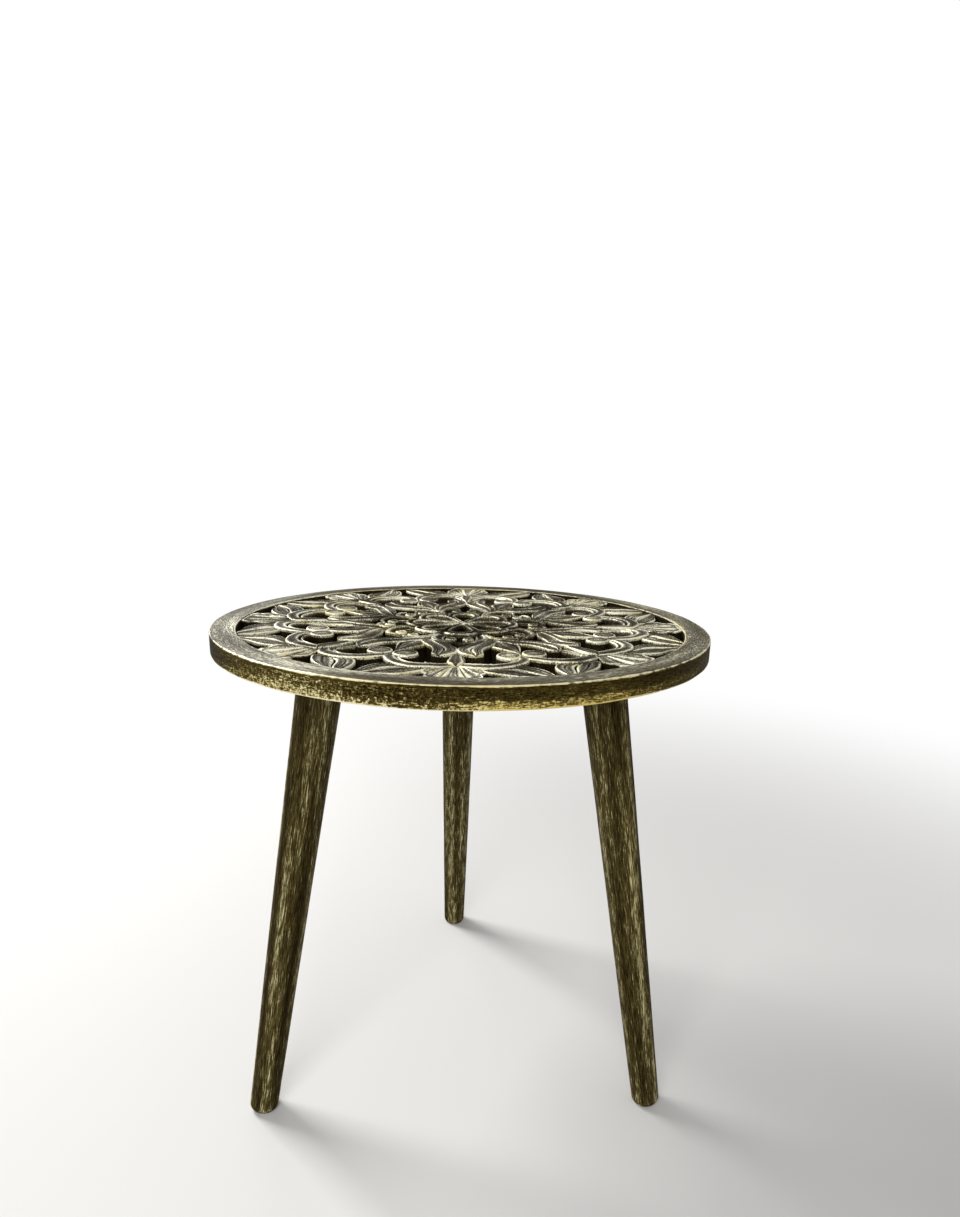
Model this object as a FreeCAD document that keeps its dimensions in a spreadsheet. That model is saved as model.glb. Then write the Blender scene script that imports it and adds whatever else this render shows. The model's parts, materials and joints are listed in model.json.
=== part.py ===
# Round side table: a plain rim around a carved openwork panel, on three splayed turned legs.
# The legs screw into blocks under the panel. Millimetres, +Z up, origin on the floor under the centre.
import FreeCAD, Part
import math
import os
import Sketcher

Vector = FreeCAD.Vector
Rotation = FreeCAD.Rotation
Placement = FreeCAD.Placement

# Driving sizes: lengths in millimetres, angles in degrees
SIZES = {
    "table_diameter": 450.0,
    "table_height": 450.0,
    "rim_width": 22.0,
    "rim_thickness": 18.0,
    "rim_edge_round": 1.6,
    "carving_recess": 1.0,
    "panel_glue_gap": 0.05,
    "carving_drawn_radius": 203.0,
    "carving_turn": -3.0,
    "bowl_cover": 0.95,
    "vein_depth": 4.0,
    "dowel_diameter": 6.0,
    "dowel_length": 26.0,
    "dowel_fit": 0.05,
    "leg_inset": 65.5,
    "foot_inset": 13.5,
    "leg_top_diameter": 40.0,
    "leg_foot_diameter": 26.0,
    "leg_top_round": 2.0,
    "leg_foot_round": 7.0,
    "foot_trim": 1.0,
    "seat_gap": 0.1,
    "block_diameter": 72.0,
    "block_depth": 18.0,
    "insert_wall": 2.0,
    "insert_cover": 3.0,
    "insert_fit": 0.02,
    "bolt_diameter": 8.0,
    "bolt_end_gap": 1.0,
    "bolt_wood_length": 32.0,
    "bolt_point_length": 7.0,
    "bolt_end_chamfer": 0.8,
    "bolt_fit": 0.05,
    "screw_diameter": 4.0,
    "screw_head_diameter": 8.0,
    "screw_head_height": 2.5,
    "screw_bite": 9.0,
    "screw_grip": 8.0,
    "screw_edge": 7.0,
    "screw_fit": 0.05,
    "head_fit": 0.3,
}

# Each leg's place around the table, and the turn of its three block screws, which finds solid carving
LEGS = {
    "left": {"azimuth": 210.0, "screw_turn": 15.0},
    "right": {"azimuth": 330.0, "screw_turn": 56.0},
    "back": {"azimuth": 90.0, "screw_turn": 60.0},
}
SCREWS_PER_BLOCK = 3
CARVING_REPEATS = 8
HALF_REPEAT = 180.0 / CARVING_REPEATS
# How far a cutting tool runs past what it cuts
OVERRUN = 5.0

# Openings of one repeat of the carving, drawn for the drawn radius: x across, y out from the centre,
# with the palmette on the y axis. A pair is a straight run's end, two pairs are an arc's middle and end.
PETAL_EYE = [(0, 7), (-8.5, 31.4), ((0, 43.3), (8.5, 31.4)), (0, 7)]
CURL_GAP = [(13.4, 48.8), (12.4, 64), (4.6, 61), (-4.6, 61), (-12.4, 64), (-13.4, 48.8),
            ((0, 52.7), (13.4, 48.8))]
TULIP_GAP = [(0, 102.5), (-12, 82), (-3, 75.5), (3, 75.5), (12, 82), (0, 102.5)]
SCROLL_EYE = [(17, 140), (31, 140), (33, 135), ((29.8, 126), (34, 118)), (36, 114), (26.5, 97.5),
              (20, 108), (20.3, 127), (12.5, 129.5), (13.5, 136.5), (17, 140)]
FAN_GAP = [(14, 210), (18.5, 195), (23.5, 183.5), ((38, 189.3), (54, 191)), (64, 194.5), (70, 210), (14, 210)]
# This one lies on the axis between two palmettes
LEAF_GAP = [(0, 151), (11.5, 160), (17, 164.5), ((6.7, 178), (4.4, 191)), (6.4, 210), (-6.4, 210),
            (-4.4, 191), ((-6.7, 178), (-17, 164.5)), (-11.5, 160), (0, 151)]

# Hollows of the same repeat, cut into the top: the scrolls' bowls and the low bridge between two curls
SCROLL_BOWL = [(8, 136), ((11.2, 149.4), (23.1, 153.5)), ((36.3, 148.9), (43.3, 138.2)), (31, 136),
               (18, 136), (8, 136)]
BRIDGE_HOLLOW = [(-2.6, 58), (2.6, 58), (2.6, 78), (-2.6, 78), (-2.6, 58)]
# Veins that part the lobes of the petals, the tulip leaves, the outer leaves and the fans
PETAL_VEIN = [(-12.2, 42.3), ((0, 50), (12.2, 42.3)), ((0, 46.8), (-12.2, 42.3))]
TULIP_VEIN = [(24.6, 76), ((17.9, 97.6), (11, 119)), ((15.3, 96.8), (24.6, 76))]
LEAF_VEIN = [(37, 170.6), ((50.2, 178.8), (64.5, 189.2)), ((51.8, 176.4), (37, 170.6))]
INNER_FAN_VEIN = [(2.5, 169.2), (10.3, 196.2), (7.3, 196.8), (2.5, 169.2)]
OUTER_FAN_VEIN = [(6.2, 169.9), (18.4, 189.4), (16, 190.8), (6.2, 169.9)]

doc = FreeCAD.newDocument("carved_table")
sheet = doc.addObject("Spreadsheet::Sheet", "Sizes")
for row, (alias, value) in enumerate(SIZES.items(), start=1):
    sheet.set(f"A{row}", alias)
    sheet.set(f"B{row}", str(value))
    sheet.setAlias(f"B{row}", alias)
doc.recompute()


def size(alias):
    """The sheet's value of one driving size."""
    return float(sheet.get(alias))


UNDERSIDE = size("table_height") - size("rim_thickness")
RIM_INNER = size("table_diameter") / 2 - size("rim_width")
LEG_TOP_CIRCLE = RIM_INNER - size("leg_inset")
FOOT_CIRCLE = size("table_diameter") / 2 - size("foot_inset")
SPLAY = math.degrees(math.atan((FOOT_CIRCLE - LEG_TOP_CIRCLE) / UNDERSIDE))
PANEL_THICKNESS = size("rim_thickness") - size("carving_recess")
SCREW_CIRCLE = size("block_diameter") / 2 - size("screw_edge")

# The same derived sizes as formulas of the sheet
UNDERSIDE_CELL = "(Sizes.table_height - Sizes.rim_thickness)"
RIM_INNER_CELL = "(Sizes.table_diameter / 2 - Sizes.rim_width)"
LEG_TOP_CIRCLE_CELL = f"({RIM_INNER_CELL} - Sizes.leg_inset)"
FOOT_CIRCLE_CELL = "(Sizes.table_diameter / 2 - Sizes.foot_inset)"
SPLAY_CELL = f"atan(({FOOT_CIRCLE_CELL} - {LEG_TOP_CIRCLE_CELL}) / {UNDERSIDE_CELL})"
PANEL_THICKNESS_CELL = "(Sizes.rim_thickness - Sizes.carving_recess)"
BOWL_FLOOR_CELL = "(Sizes.screw_bite + Sizes.screw_fit + Sizes.bowl_cover)"
INSERT_RADIUS_CELL = "(Sizes.bolt_diameter / 2 + Sizes.insert_wall)"
INSERT_LENGTH_CELL = "(Sizes.block_depth - Sizes.insert_cover)"
LEG_LENGTH_CELL = (f"({UNDERSIDE_CELL} / cos({SPLAY_CELL}) - Sizes.block_depth - Sizes.seat_gap"
                   " + Sizes.foot_trim)")


def origin_plane(body, role):
    """The body's own origin plane of that role."""
    return next(plane for plane in body.Origin.OriginFeatures if plane.Role == role)


def new_body(label):
    """An empty body named for its piece."""
    body = doc.addObject("PartDesign::Body", label)
    body.Label = label
    return body


def new_sketch(body, name, role):
    """A sketch on one of the body's origin planes."""
    sketch = body.newObject("Sketcher::SketchObject", name)
    sketch.AttachmentSupport = [(origin_plane(body, role), "")]
    sketch.MapMode = "FlatFace"
    return sketch


def bound_circle(sketch, radius_cell):
    """A circle about the sketch's origin whose radius follows the sheet."""
    index = sketch.addGeometry(Part.Circle(Vector(0, 0, 0), Vector(0, 0, 1), 1.0), False)
    sketch.addConstraint(Sketcher.Constraint("Coincident", index, 3, -1, 1))
    radius = sketch.addConstraint(Sketcher.Constraint("Radius", index, 1.0))
    sketch.setExpression(f"Constraints[{radius}]", radius_cell)


def bound_profile(sketch, corners):
    """A closed run of straight edges; each corner's two distances from the origin follow the sheet."""
    count = len(corners)
    guess = [Vector(10 + 5 * math.cos(2 * math.pi * k / count), 10 + 5 * math.sin(2 * math.pi * k / count), 0)
             for k in range(count)]
    for k in range(count):
        sketch.addGeometry(Part.LineSegment(guess[k], guess[(k + 1) % count]), False)
    for k, (across, along) in enumerate(corners):
        sketch.addConstraint(Sketcher.Constraint("Coincident", (k - 1) % count, 2, k, 1))
        for kind, cell in (("DistanceX", across), ("DistanceY", along)):
            if cell == "0":
                axis = -2 if kind == "DistanceX" else -1
                sketch.addConstraint(Sketcher.Constraint("PointOnObject", k, 1, axis))
                continue
            place = guess[k].x if kind == "DistanceX" else guess[k].y
            index = sketch.addConstraint(Sketcher.Constraint(kind, -1, 1, k, 1, place))
            sketch.setExpression(f"Constraints[{index}]", cell)


def turned_body(label, corners):
    """A body turned about its own Z axis from a profile of (radius, height) corners."""
    body = new_body(label)
    sketch = new_sketch(body, label + "_profile", "XZ_Plane")
    bound_profile(sketch, corners)
    turning = body.newObject("PartDesign::Revolution", label + "_turning")
    turning.Profile = sketch
    turning.ReferenceAxis = (sketch, ["V_Axis"])
    turning.Angle = 360.0
    doc.recompute()
    return body


def edges_on(shape, test):
    """Names of the shape's edges whose bounding box passes the test."""
    return [f"Edge{k}" for k, edge in enumerate(shape.Edges, start=1) if test(edge.BoundBox)]


def cylinder(name, radius_cell, height_cell, place):
    """A cylinder along its own Z axis, sized by the sheet and set in its place."""
    solid = doc.addObject("Part::Cylinder", name)
    solid.setExpression("Radius", radius_cell)
    solid.setExpression("Height", height_cell)
    solid.Placement = place
    return solid


def cut(name, base, tools):
    """The base with all the tools taken away."""
    result = doc.addObject("Part::Cut", name)
    result.Label = name
    result.Base = base
    if len(tools) == 1:
        result.Tool = tools[0]
        return result
    result.Tool = doc.addObject("Part::MultiFuse", name + "_tools")
    result.Tool.Shapes = tools
    return result


def group(name, solids):
    """Separate solids kept together under one name."""
    result = doc.addObject("Part::Compound", name)
    result.Label = name
    result.Links = solids
    return result


def leg_frame(azimuth):
    """Where a leg's axis meets the panel's underside: Z up along the leg, X away from the centre."""
    angle = math.radians(azimuth)
    place = Vector(LEG_TOP_CIRCLE * math.cos(angle), LEG_TOP_CIRCLE * math.sin(angle), UNDERSIDE)
    around = Rotation(Vector(0, 0, 1), azimuth)
    lean = Rotation(Vector(0, 1, 0), -SPLAY)
    return Placement(place, around * lean)


def along_leg(azimuth, height, x=0.0, y=0.0):
    """A place in a leg's frame, at a height along its axis."""
    return leg_frame(azimuth) * Placement(Vector(x, y, height), Rotation())


def screw_places(leg):
    """Each block screw's x and y in the leg's frame, with the height of the panel's underside there."""
    places = []
    for k in range(SCREWS_PER_BLOCK):
        angle = math.radians(leg["screw_turn"] + 360.0 * k / SCREWS_PER_BLOCK)
        x = SCREW_CIRCLE * math.cos(angle)
        y = SCREW_CIRCLE * math.sin(angle)
        places.append((x, y, -x * math.tan(math.radians(SPLAY))))
    return places


def draw_outline(sketch, outline, scale, turn, mirrored):
    """One closed outline of runs and arcs, scaled, turned about the centre and mirrored if asked."""
    side = -1.0 if mirrored else 1.0

    def point(pair):
        return Rotation(Vector(0, 0, 1), turn).multVec(Vector(side * pair[0] * scale, pair[1] * scale, 0))

    start = point(outline[0])
    for step in outline[1:]:
        if isinstance(step[0], tuple):
            end = point(step[1])
            sketch.addGeometry(Part.Arc(start, point(step[0]), end), False)
        else:
            end = point(step)
            sketch.addGeometry(Part.LineSegment(start, end), False)
        start = end


def dowel_holes(body, name, start_cell, depth_cell, height_cell):
    """Eight radial dowel holes on the palmettes' axes, from a start radius outwards."""
    before = body.Shape.Volume
    sketch = new_sketch(body, name + "_circle", "XZ_Plane")
    index = sketch.addGeometry(Part.Circle(Vector(0, 5, 0), Vector(0, 0, 1), 3.0), False)
    sketch.addConstraint(Sketcher.Constraint("PointOnObject", index, 3, -2))
    height = sketch.addConstraint(Sketcher.Constraint("DistanceY", -1, 1, index, 3, 5.0))
    radius = sketch.addConstraint(Sketcher.Constraint("Radius", index, 3.0))
    sketch.setExpression(f"Constraints[{height}]", height_cell)
    sketch.setExpression(f"Constraints[{radius}]", "Sizes.dowel_diameter / 2 + Sizes.dowel_fit")
    sketch.setExpression("AttachmentOffset.Base.z", start_cell)
    hole = body.newObject("PartDesign::Pocket", name)
    hole.Profile = sketch
    hole.Reversed = True
    hole.setExpression("Length", depth_cell)
    doc.recompute()
    ring = body.newObject("PartDesign::PolarPattern", name + "_ring")
    ring.Originals = [hole]
    ring.Axis = (next(axis for axis in body.Origin.OriginFeatures if axis.Role == "Z_Axis"), [""])
    ring.Angle = 360.0
    ring.Occurrences = CARVING_REPEATS
    body.Tip = ring
    doc.recompute()
    print(name, "took", round(before - body.Shape.Volume, 1), "cubic mm")


def rim_ring():
    """The plain rim: a flat ring with worn round edges, drilled from inside for the panel's dowels."""
    body = new_body("rim_ring")
    sketch = new_sketch(body, "rim_circles", "XY_Plane")
    bound_circle(sketch, "Sizes.table_diameter / 2")
    bound_circle(sketch, RIM_INNER_CELL)
    board = body.newObject("PartDesign::Pad", "rim_board")
    board.Profile = sketch
    board.setExpression("Length", "Sizes.rim_thickness")
    doc.recompute()
    rounding = body.newObject("PartDesign::Fillet", "rim_worn_edges")
    rounding.Base = (board, edges_on(board.Shape, lambda box: box.ZLength < 1e-6))
    rounding.setExpression("Radius", "Sizes.rim_edge_round")
    doc.recompute()
    dowel_holes(body, "rim_dowel_holes", f"{RIM_INNER_CELL} - {OVERRUN}",
                f"Sizes.dowel_length / 2 + Sizes.dowel_fit + {OVERRUN}",
                PANEL_THICKNESS_CELL + " / 2")
    body.Placement = Placement(Vector(0, 0, UNDERSIDE), Rotation(Vector(0, 0, 1), size("carving_turn")))
    return body


def cut_carving(body, name, single, paired, between):
    """A pocket of one repeat's outlines, cut all round: the paired ones are mirrored, and those between
    lie on the axis between two palmettes. Returns the pocket, whose depth is still to be set."""
    scale = RIM_INNER / size("carving_drawn_radius")
    sketch = new_sketch(body, name + "_outlines", "XY_Plane")
    for outline in single:
        draw_outline(sketch, outline, scale, 0.0, False)
    for outline in paired:
        draw_outline(sketch, outline, scale, 0.0, False)
        draw_outline(sketch, outline, scale, 0.0, True)
    for outline in between:
        draw_outline(sketch, outline, scale, HALF_REPEAT, False)
    pocket = body.newObject("PartDesign::Pocket", name)
    pocket.Profile = sketch
    return pocket


def cut_around(body, pocket):
    """The pocket repeated all round the panel."""
    doc.recompute()
    before = body.Shape.Volume
    repeats = body.newObject("PartDesign::PolarPattern", pocket.Name + "_around")
    repeats.Originals = [pocket]
    repeats.Axis = (next(axis for axis in body.Origin.OriginFeatures if axis.Role == "Z_Axis"), [""])
    repeats.Angle = 360.0
    repeats.Occurrences = CARVING_REPEATS
    body.Tip = repeats
    doc.recompute()
    print(pocket.Name, "copies took", round(before - body.Shape.Volume), "cubic mm")


def cut_hollows(body, name, single, paired, depth_cell):
    """Hollows of the carving's relief, sunk from the panel's top."""
    pocket = cut_carving(body, name, single, paired, [])
    pocket.Profile[0].setExpression("AttachmentOffset.Base.z", PANEL_THICKNESS_CELL)
    pocket.setExpression("Length", depth_cell)
    cut_around(body, pocket)


def carved_panel():
    """The panel: a disc with the carving's openings and relief, its dowel holes and the screws' pilots."""
    body = new_body("panel_board")
    edge_cell = f"({RIM_INNER_CELL} - Sizes.panel_glue_gap)"
    disc = new_sketch(body, "panel_circle", "XY_Plane")
    bound_circle(disc, edge_cell)
    board = body.newObject("PartDesign::Pad", "panel_disc")
    board.Profile = disc
    board.setExpression("Length", PANEL_THICKNESS_CELL)
    doc.recompute()
    openings = cut_carving(body, "openings", [PETAL_EYE, CURL_GAP, TULIP_GAP], [SCROLL_EYE, FAN_GAP],
                           [LEAF_GAP])
    openings.Type = "ThroughAll"
    openings.Reversed = True
    cut_around(body, openings)
    cut_hollows(body, "bowls", [BRIDGE_HOLLOW], [SCROLL_BOWL], f"{PANEL_THICKNESS_CELL} - {BOWL_FLOOR_CELL}")
    cut_hollows(body, "veins", [PETAL_VEIN], [TULIP_VEIN, LEAF_VEIN, INNER_FAN_VEIN, OUTER_FAN_VEIN],
                "Sizes.vein_depth")
    dowel_holes(body, "panel_dowel_holes", edge_cell + " - Sizes.dowel_length / 2 - Sizes.dowel_fit",
                f"Sizes.dowel_length / 2 + {OVERRUN}", PANEL_THICKNESS_CELL + " / 2")
    body.Placement = Placement(Vector(0, 0, UNDERSIDE), Rotation(Vector(0, 0, 1), size("carving_turn")))
    pilots = []
    for side, leg in LEGS.items():
        for k, (x, y, top) in enumerate(screw_places(leg), start=1):
            place = along_leg(leg["azimuth"], top - OVERRUN, x, y)
            pilots.append(cylinder(f"{side}_pilot_{k}", "Sizes.screw_diameter / 2 + Sizes.screw_fit",
                                   f"Sizes.screw_bite + Sizes.screw_fit + {OVERRUN}", place))
    return cut("carved_panel", body, pilots)


def panel_dowels():
    """Wooden pegs, half in each fan's end and half in the rim."""
    pegs = []
    for k in range(CARVING_REPEATS):
        azimuth = size("carving_turn") + 90.0 + 360.0 * k / CARVING_REPEATS
        around = Rotation(Vector(0, 0, 1), azimuth)
        start = around.multVec(Vector(RIM_INNER - size("dowel_length") / 2, 0, 0))
        start.z = UNDERSIDE + PANEL_THICKNESS / 2
        place = Placement(start, around * Rotation(Vector(0, 1, 0), 90.0))
        pegs.append(cylinder(f"dowel_{k + 1}", "Sizes.dowel_diameter / 2", "Sizes.dowel_length", place))
    return group("panel_dowels", pegs)


def leg_block(side, leg):
    """A turned block in line with its leg, its top sawn level, bored for the insert and the screws."""
    azimuth = leg["azimuth"]
    name = side + "_leg_block"
    radius_cell = "Sizes.block_diameter / 2"
    turning = cylinder(name + "_turning", radius_cell, f"Sizes.block_depth + {radius_cell}",
                       along_leg(azimuth, -size("block_depth")))
    waste = doc.addObject("Part::Box", name + "_waste")
    waste.setExpression("Length", "3 * Sizes.block_diameter")
    waste.setExpression("Width", "3 * Sizes.block_diameter")
    waste.setExpression("Height", "3 * Sizes.block_diameter")
    half = 1.5 * size("block_diameter")
    waste.Placement = Placement(leg_frame(azimuth).Base - Vector(half, half, 0), Rotation())
    tools = [waste]
    tools.append(cylinder(name + "_insert_bore", f"{INSERT_RADIUS_CELL} + Sizes.insert_fit",
                          f"{INSERT_LENGTH_CELL} + {OVERRUN}",
                          along_leg(azimuth, -size("block_depth") - OVERRUN)))
    for k, (x, y, top) in enumerate(screw_places(leg), start=1):
        below = size("block_depth") + abs(top)
        tools.append(cylinder(f"{name}_shank_{k}", "Sizes.screw_diameter / 2 + Sizes.screw_fit",
                              f"Sizes.screw_grip + 2 * {OVERRUN}",
                              along_leg(azimuth, top - size("screw_grip") - OVERRUN, x, y)))
        tools.append(cylinder(f"{name}_counterbore_{k}", "Sizes.screw_head_diameter / 2 + Sizes.head_fit",
                              f"{below}", along_leg(azimuth, top - size("screw_grip") - below, x, y)))
    return cut(name, turning, tools)


def threaded_insert(side, leg):
    """A steel sleeve in the block that takes the leg's bolt."""
    bore = "Sizes.bolt_diameter / 2 + Sizes.bolt_fit"
    wall = INSERT_RADIUS_CELL
    body = turned_body(side + "_threaded_insert",
                       [(bore, "0"), (wall, "0"), (wall, INSERT_LENGTH_CELL), (bore, INSERT_LENGTH_CELL)])
    body.Placement = along_leg(leg["azimuth"], -size("block_depth"))
    return body


def hanger_bolt(side, leg):
    """A bolt with a wood point in the leg and a plain threaded end in the insert."""
    radius = "Sizes.bolt_diameter / 2"
    length = f"(Sizes.bolt_wood_length + {INSERT_LENGTH_CELL} - Sizes.bolt_end_gap)"
    body = turned_body(side + "_hanger_bolt",
                       [("0", "0"), (radius, "Sizes.bolt_point_length"),
                        (radius, length + " - Sizes.bolt_end_chamfer"),
                        (radius + " - Sizes.bolt_end_chamfer", length), ("0", length)])
    body.Placement = along_leg(leg["azimuth"], -size("block_depth") - size("bolt_wood_length"))
    return body


def turned_leg(side, leg):
    """A round leg that tapers to a rounded foot, bored for its bolt and trimmed level on the floor."""
    name = side + "_leg"
    top = "Sizes.leg_top_diameter / 2"
    foot = "Sizes.leg_foot_diameter / 2"
    body = turned_body(name + "_turning",
                       [("0", "0"), (foot, "0"), (top, LEG_LENGTH_CELL), ("0", LEG_LENGTH_CELL)])
    turning = body.Tip
    length = turning.Shape.BoundBox.ZMax
    for label, level, cell in (("foot", 0.0, "Sizes.leg_foot_round"), ("top", length, "Sizes.leg_top_round")):
        base = body.Tip
        rounding = body.newObject("PartDesign::Fillet", f"{name}_{label}_round")
        edges = edges_on(base.Shape, lambda box: abs(box.ZMax - level) + abs(box.ZMin - level) < 1e-4)
        rounding.Base = (base, edges)
        rounding.setExpression("Radius", cell)
        doc.recompute()
    body.Placement = along_leg(leg["azimuth"], -size("block_depth") - size("seat_gap") - length)
    bore_depth = size("bolt_wood_length") + size("bolt_fit")
    bore = cylinder(name + "_bore", "Sizes.bolt_diameter / 2 + Sizes.bolt_fit",
                    f"Sizes.bolt_wood_length + Sizes.bolt_fit + {OVERRUN}",
                    along_leg(leg["azimuth"], -size("block_depth") - bore_depth))
    floor = doc.addObject("Part::Box", name + "_floor")
    reach = 2.0 * size("leg_foot_diameter")
    floor.setExpression("Length", "4 * Sizes.leg_foot_diameter")
    floor.setExpression("Width", "4 * Sizes.leg_foot_diameter")
    floor.setExpression("Height", "Sizes.leg_foot_diameter")
    angle = math.radians(leg["azimuth"])
    foot_place = Vector(FOOT_CIRCLE * math.cos(angle), FOOT_CIRCLE * math.sin(angle), 0)
    floor.Placement = Placement(foot_place - Vector(reach, reach, size("leg_foot_diameter")), Rotation())
    return cut(name, body, [bore, floor])


def block_screws(side, leg):
    """The three screws that hold a block up to the panel, headed below, pointed into the carving."""
    screws = []
    shank = "Sizes.screw_diameter / 2"
    head = "Sizes.screw_head_diameter / 2"
    seat = "Sizes.screw_head_height"
    length = f"({seat} + Sizes.screw_grip + Sizes.screw_bite)"
    for k, (x, y, top) in enumerate(screw_places(leg), start=1):
        body = turned_body(f"{side}_block_screw_{k}",
                           [("0", "0"), (head, "0"), (head, seat), (shank, seat),
                            (shank, length + " - Sizes.screw_diameter"), ("0", length)])
        body.Placement = along_leg(leg["azimuth"], top - size("screw_grip") - size("screw_head_height"), x, y)
        screws.append(body)
    return group(side + "_block_screws", screws)


pieces = [rim_ring(), carved_panel(), panel_dowels()]
for side, leg in LEGS.items():
    for make in (leg_block, threaded_insert, block_screws, hanger_bolt, turned_leg):
        pieces.append(make(side, leg))
doc.recompute()

for item in doc.Objects:
    if "Invalid" in item.State or "Error" in item.State:
        raise RuntimeError(f"{item.Label} failed: {item.State}")
for piece in pieces:
    if piece.Shape.isNull() or not piece.Shape.isValid():
        raise RuntimeError(f"{piece.Label} has no valid shape")

os.makedirs("parts", exist_ok=True)
for piece in pieces:
    piece.Shape.exportStep(f"parts/{piece.Label}.step")
    box = piece.Shape.BoundBox
    print(piece.Label, len(piece.Shape.Solids), "solid(s)", round(piece.Shape.Volume), "cubic mm, z",
          round(box.ZMin, 2), "to", round(box.ZMax, 2))
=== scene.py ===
# %% [markdown]
# A round side table: a plain wooden rim around an openwork carving, on three splayed round legs.
# The finish is dark umber with antique brass rubbed over everything that stands proud.
# The solid model fixes every size and place, so this lesson only dresses it: it loads that frame,
# makes finer surfaces with numpy where the look needs them, and gives each one a procedural finish.

# %% Load the solid model and read the sizes that the pieces share
import bmesh
import bpy
import json
import math
import numpy as np
from mathutils import Matrix, Vector


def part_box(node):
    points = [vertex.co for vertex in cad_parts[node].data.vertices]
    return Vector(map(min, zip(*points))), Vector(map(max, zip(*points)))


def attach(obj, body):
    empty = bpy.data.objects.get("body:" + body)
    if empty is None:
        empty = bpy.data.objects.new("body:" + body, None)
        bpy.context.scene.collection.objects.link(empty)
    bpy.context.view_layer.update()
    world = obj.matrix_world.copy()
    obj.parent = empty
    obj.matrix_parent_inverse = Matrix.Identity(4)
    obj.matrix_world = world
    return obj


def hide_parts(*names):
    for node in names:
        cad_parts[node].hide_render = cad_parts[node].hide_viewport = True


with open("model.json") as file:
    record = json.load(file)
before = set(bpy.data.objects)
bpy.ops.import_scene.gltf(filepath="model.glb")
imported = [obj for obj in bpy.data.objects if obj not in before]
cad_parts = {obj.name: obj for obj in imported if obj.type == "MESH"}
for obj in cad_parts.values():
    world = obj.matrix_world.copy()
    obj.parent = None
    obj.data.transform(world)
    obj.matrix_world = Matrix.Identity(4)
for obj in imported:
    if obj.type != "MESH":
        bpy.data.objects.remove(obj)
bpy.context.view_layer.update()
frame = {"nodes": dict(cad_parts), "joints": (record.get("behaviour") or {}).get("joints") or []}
MM = 0.001
SIDES = ("left", "right", "back")
rim_low, rim_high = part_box("rim_ring")
panel_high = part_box("carved_panel")[1]
TABLE_RADIUS = rim_high.x
UNDERSIDE = rim_low.z
RIM_TOP = rim_high.z
PANEL_RADIUS = panel_high.x
CARVING_HEIGHT = panel_high.z - UNDERSIDE
print(f"table {2 * TABLE_RADIUS:.3f} m across, {RIM_TOP:.3f} m high,",
      f"carving {CARVING_HEIGHT / MM:.1f} mm deep")

# %% [markdown]
# The camera comes first, because every later judgement is made through it.
# A camera was fitted to the rim's two ellipses and to the three feet in the photograph, and then moved by
# a few pixels against the render: it gives the focal length, the principal point and the camera's place.
# Blender takes a lens in millimetres on a 36 mm long side and a shift in shares of that side.

# %% Camera
PHOTO_WIDTH, PHOTO_HEIGHT = 960, 1217
FOCAL_PIXELS = 784.2
PRINCIPAL_PIXEL = (485.4, 683.9)
CAMERA_PLACE = (-0.0051, -0.7245, 0.5902)
CAMERA_PITCH, CAMERA_YAW, CAMERA_ROLL = 15.507, 2.219, 1.427
LEGS_TURN = 0.866
SENSOR = 36.0


def turned_about_z(degrees):
    """The 3 x 3 matrix of a turn about the upright axis."""
    c, s = math.cos(math.radians(degrees)), math.sin(math.radians(degrees))
    return np.array([[c, -s, 0.0], [s, c, 0.0], [0.0, 0.0, 1.0]])


def into_scene(name, data):
    """A new object with the data, linked to the scene."""
    thing = bpy.data.objects.new(name, data)
    bpy.context.scene.collection.objects.link(thing)
    return thing


def photo_camera():
    """Aims a camera by pitch, yaw and roll, then turns the whole rig to the table's own legs."""
    pitch, yaw, roll = np.radians([CAMERA_PITCH, CAMERA_YAW, CAMERA_ROLL])
    ahead = np.array([math.sin(yaw) * math.cos(pitch), math.cos(yaw) * math.cos(pitch), -math.sin(pitch)])
    level = np.array([math.cos(yaw), -math.sin(yaw), 0.0])
    above = np.cross(level, ahead)
    right = math.cos(roll) * level + math.sin(roll) * above
    up = math.cos(roll) * above - math.sin(roll) * level
    turn = turned_about_z(-LEGS_TURN)
    axes = turn @ np.stack([right, up, -ahead], axis=1)
    place = Matrix.Identity(4)
    for row in range(3):
        place[row][:3] = axes[row]
        place[row][3] = (turn @ CAMERA_PLACE)[row]
    data = bpy.data.cameras.new("photo_camera")
    data.sensor_width = SENSOR
    data.lens = SENSOR * FOCAL_PIXELS / PHOTO_HEIGHT
    data.shift_x = (PHOTO_WIDTH / 2 - PRINCIPAL_PIXEL[0]) / PHOTO_HEIGHT
    data.shift_y = (PRINCIPAL_PIXEL[1] - PHOTO_HEIGHT / 2) / PHOTO_HEIGHT
    data.clip_start = 0.01
    camera = into_scene("photo_camera", data)
    camera.matrix_world = place
    bpy.context.scene.camera = camera
    print(f"camera lens {data.lens:.2f} mm, shift {data.shift_x:.4f}, {data.shift_y:.4f}")


photo_camera()

# %% [markdown]
# Every carved motif is drawn with a few points, as a carver marks out a pattern on the board.
# A Bezier curve object could hold them, but a function keeps the whole shape in numpy:
# a line that flows through the points, sampled as densely as the surface needs.

# %% Lines that flow through a few points


def chord_lengths(points):
    """The way from the first point to each one, along the straight chords."""
    return np.concatenate([[0.0], np.cumsum(np.linalg.norm(np.diff(points[:, :2], axis=0), axis=1))])


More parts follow.
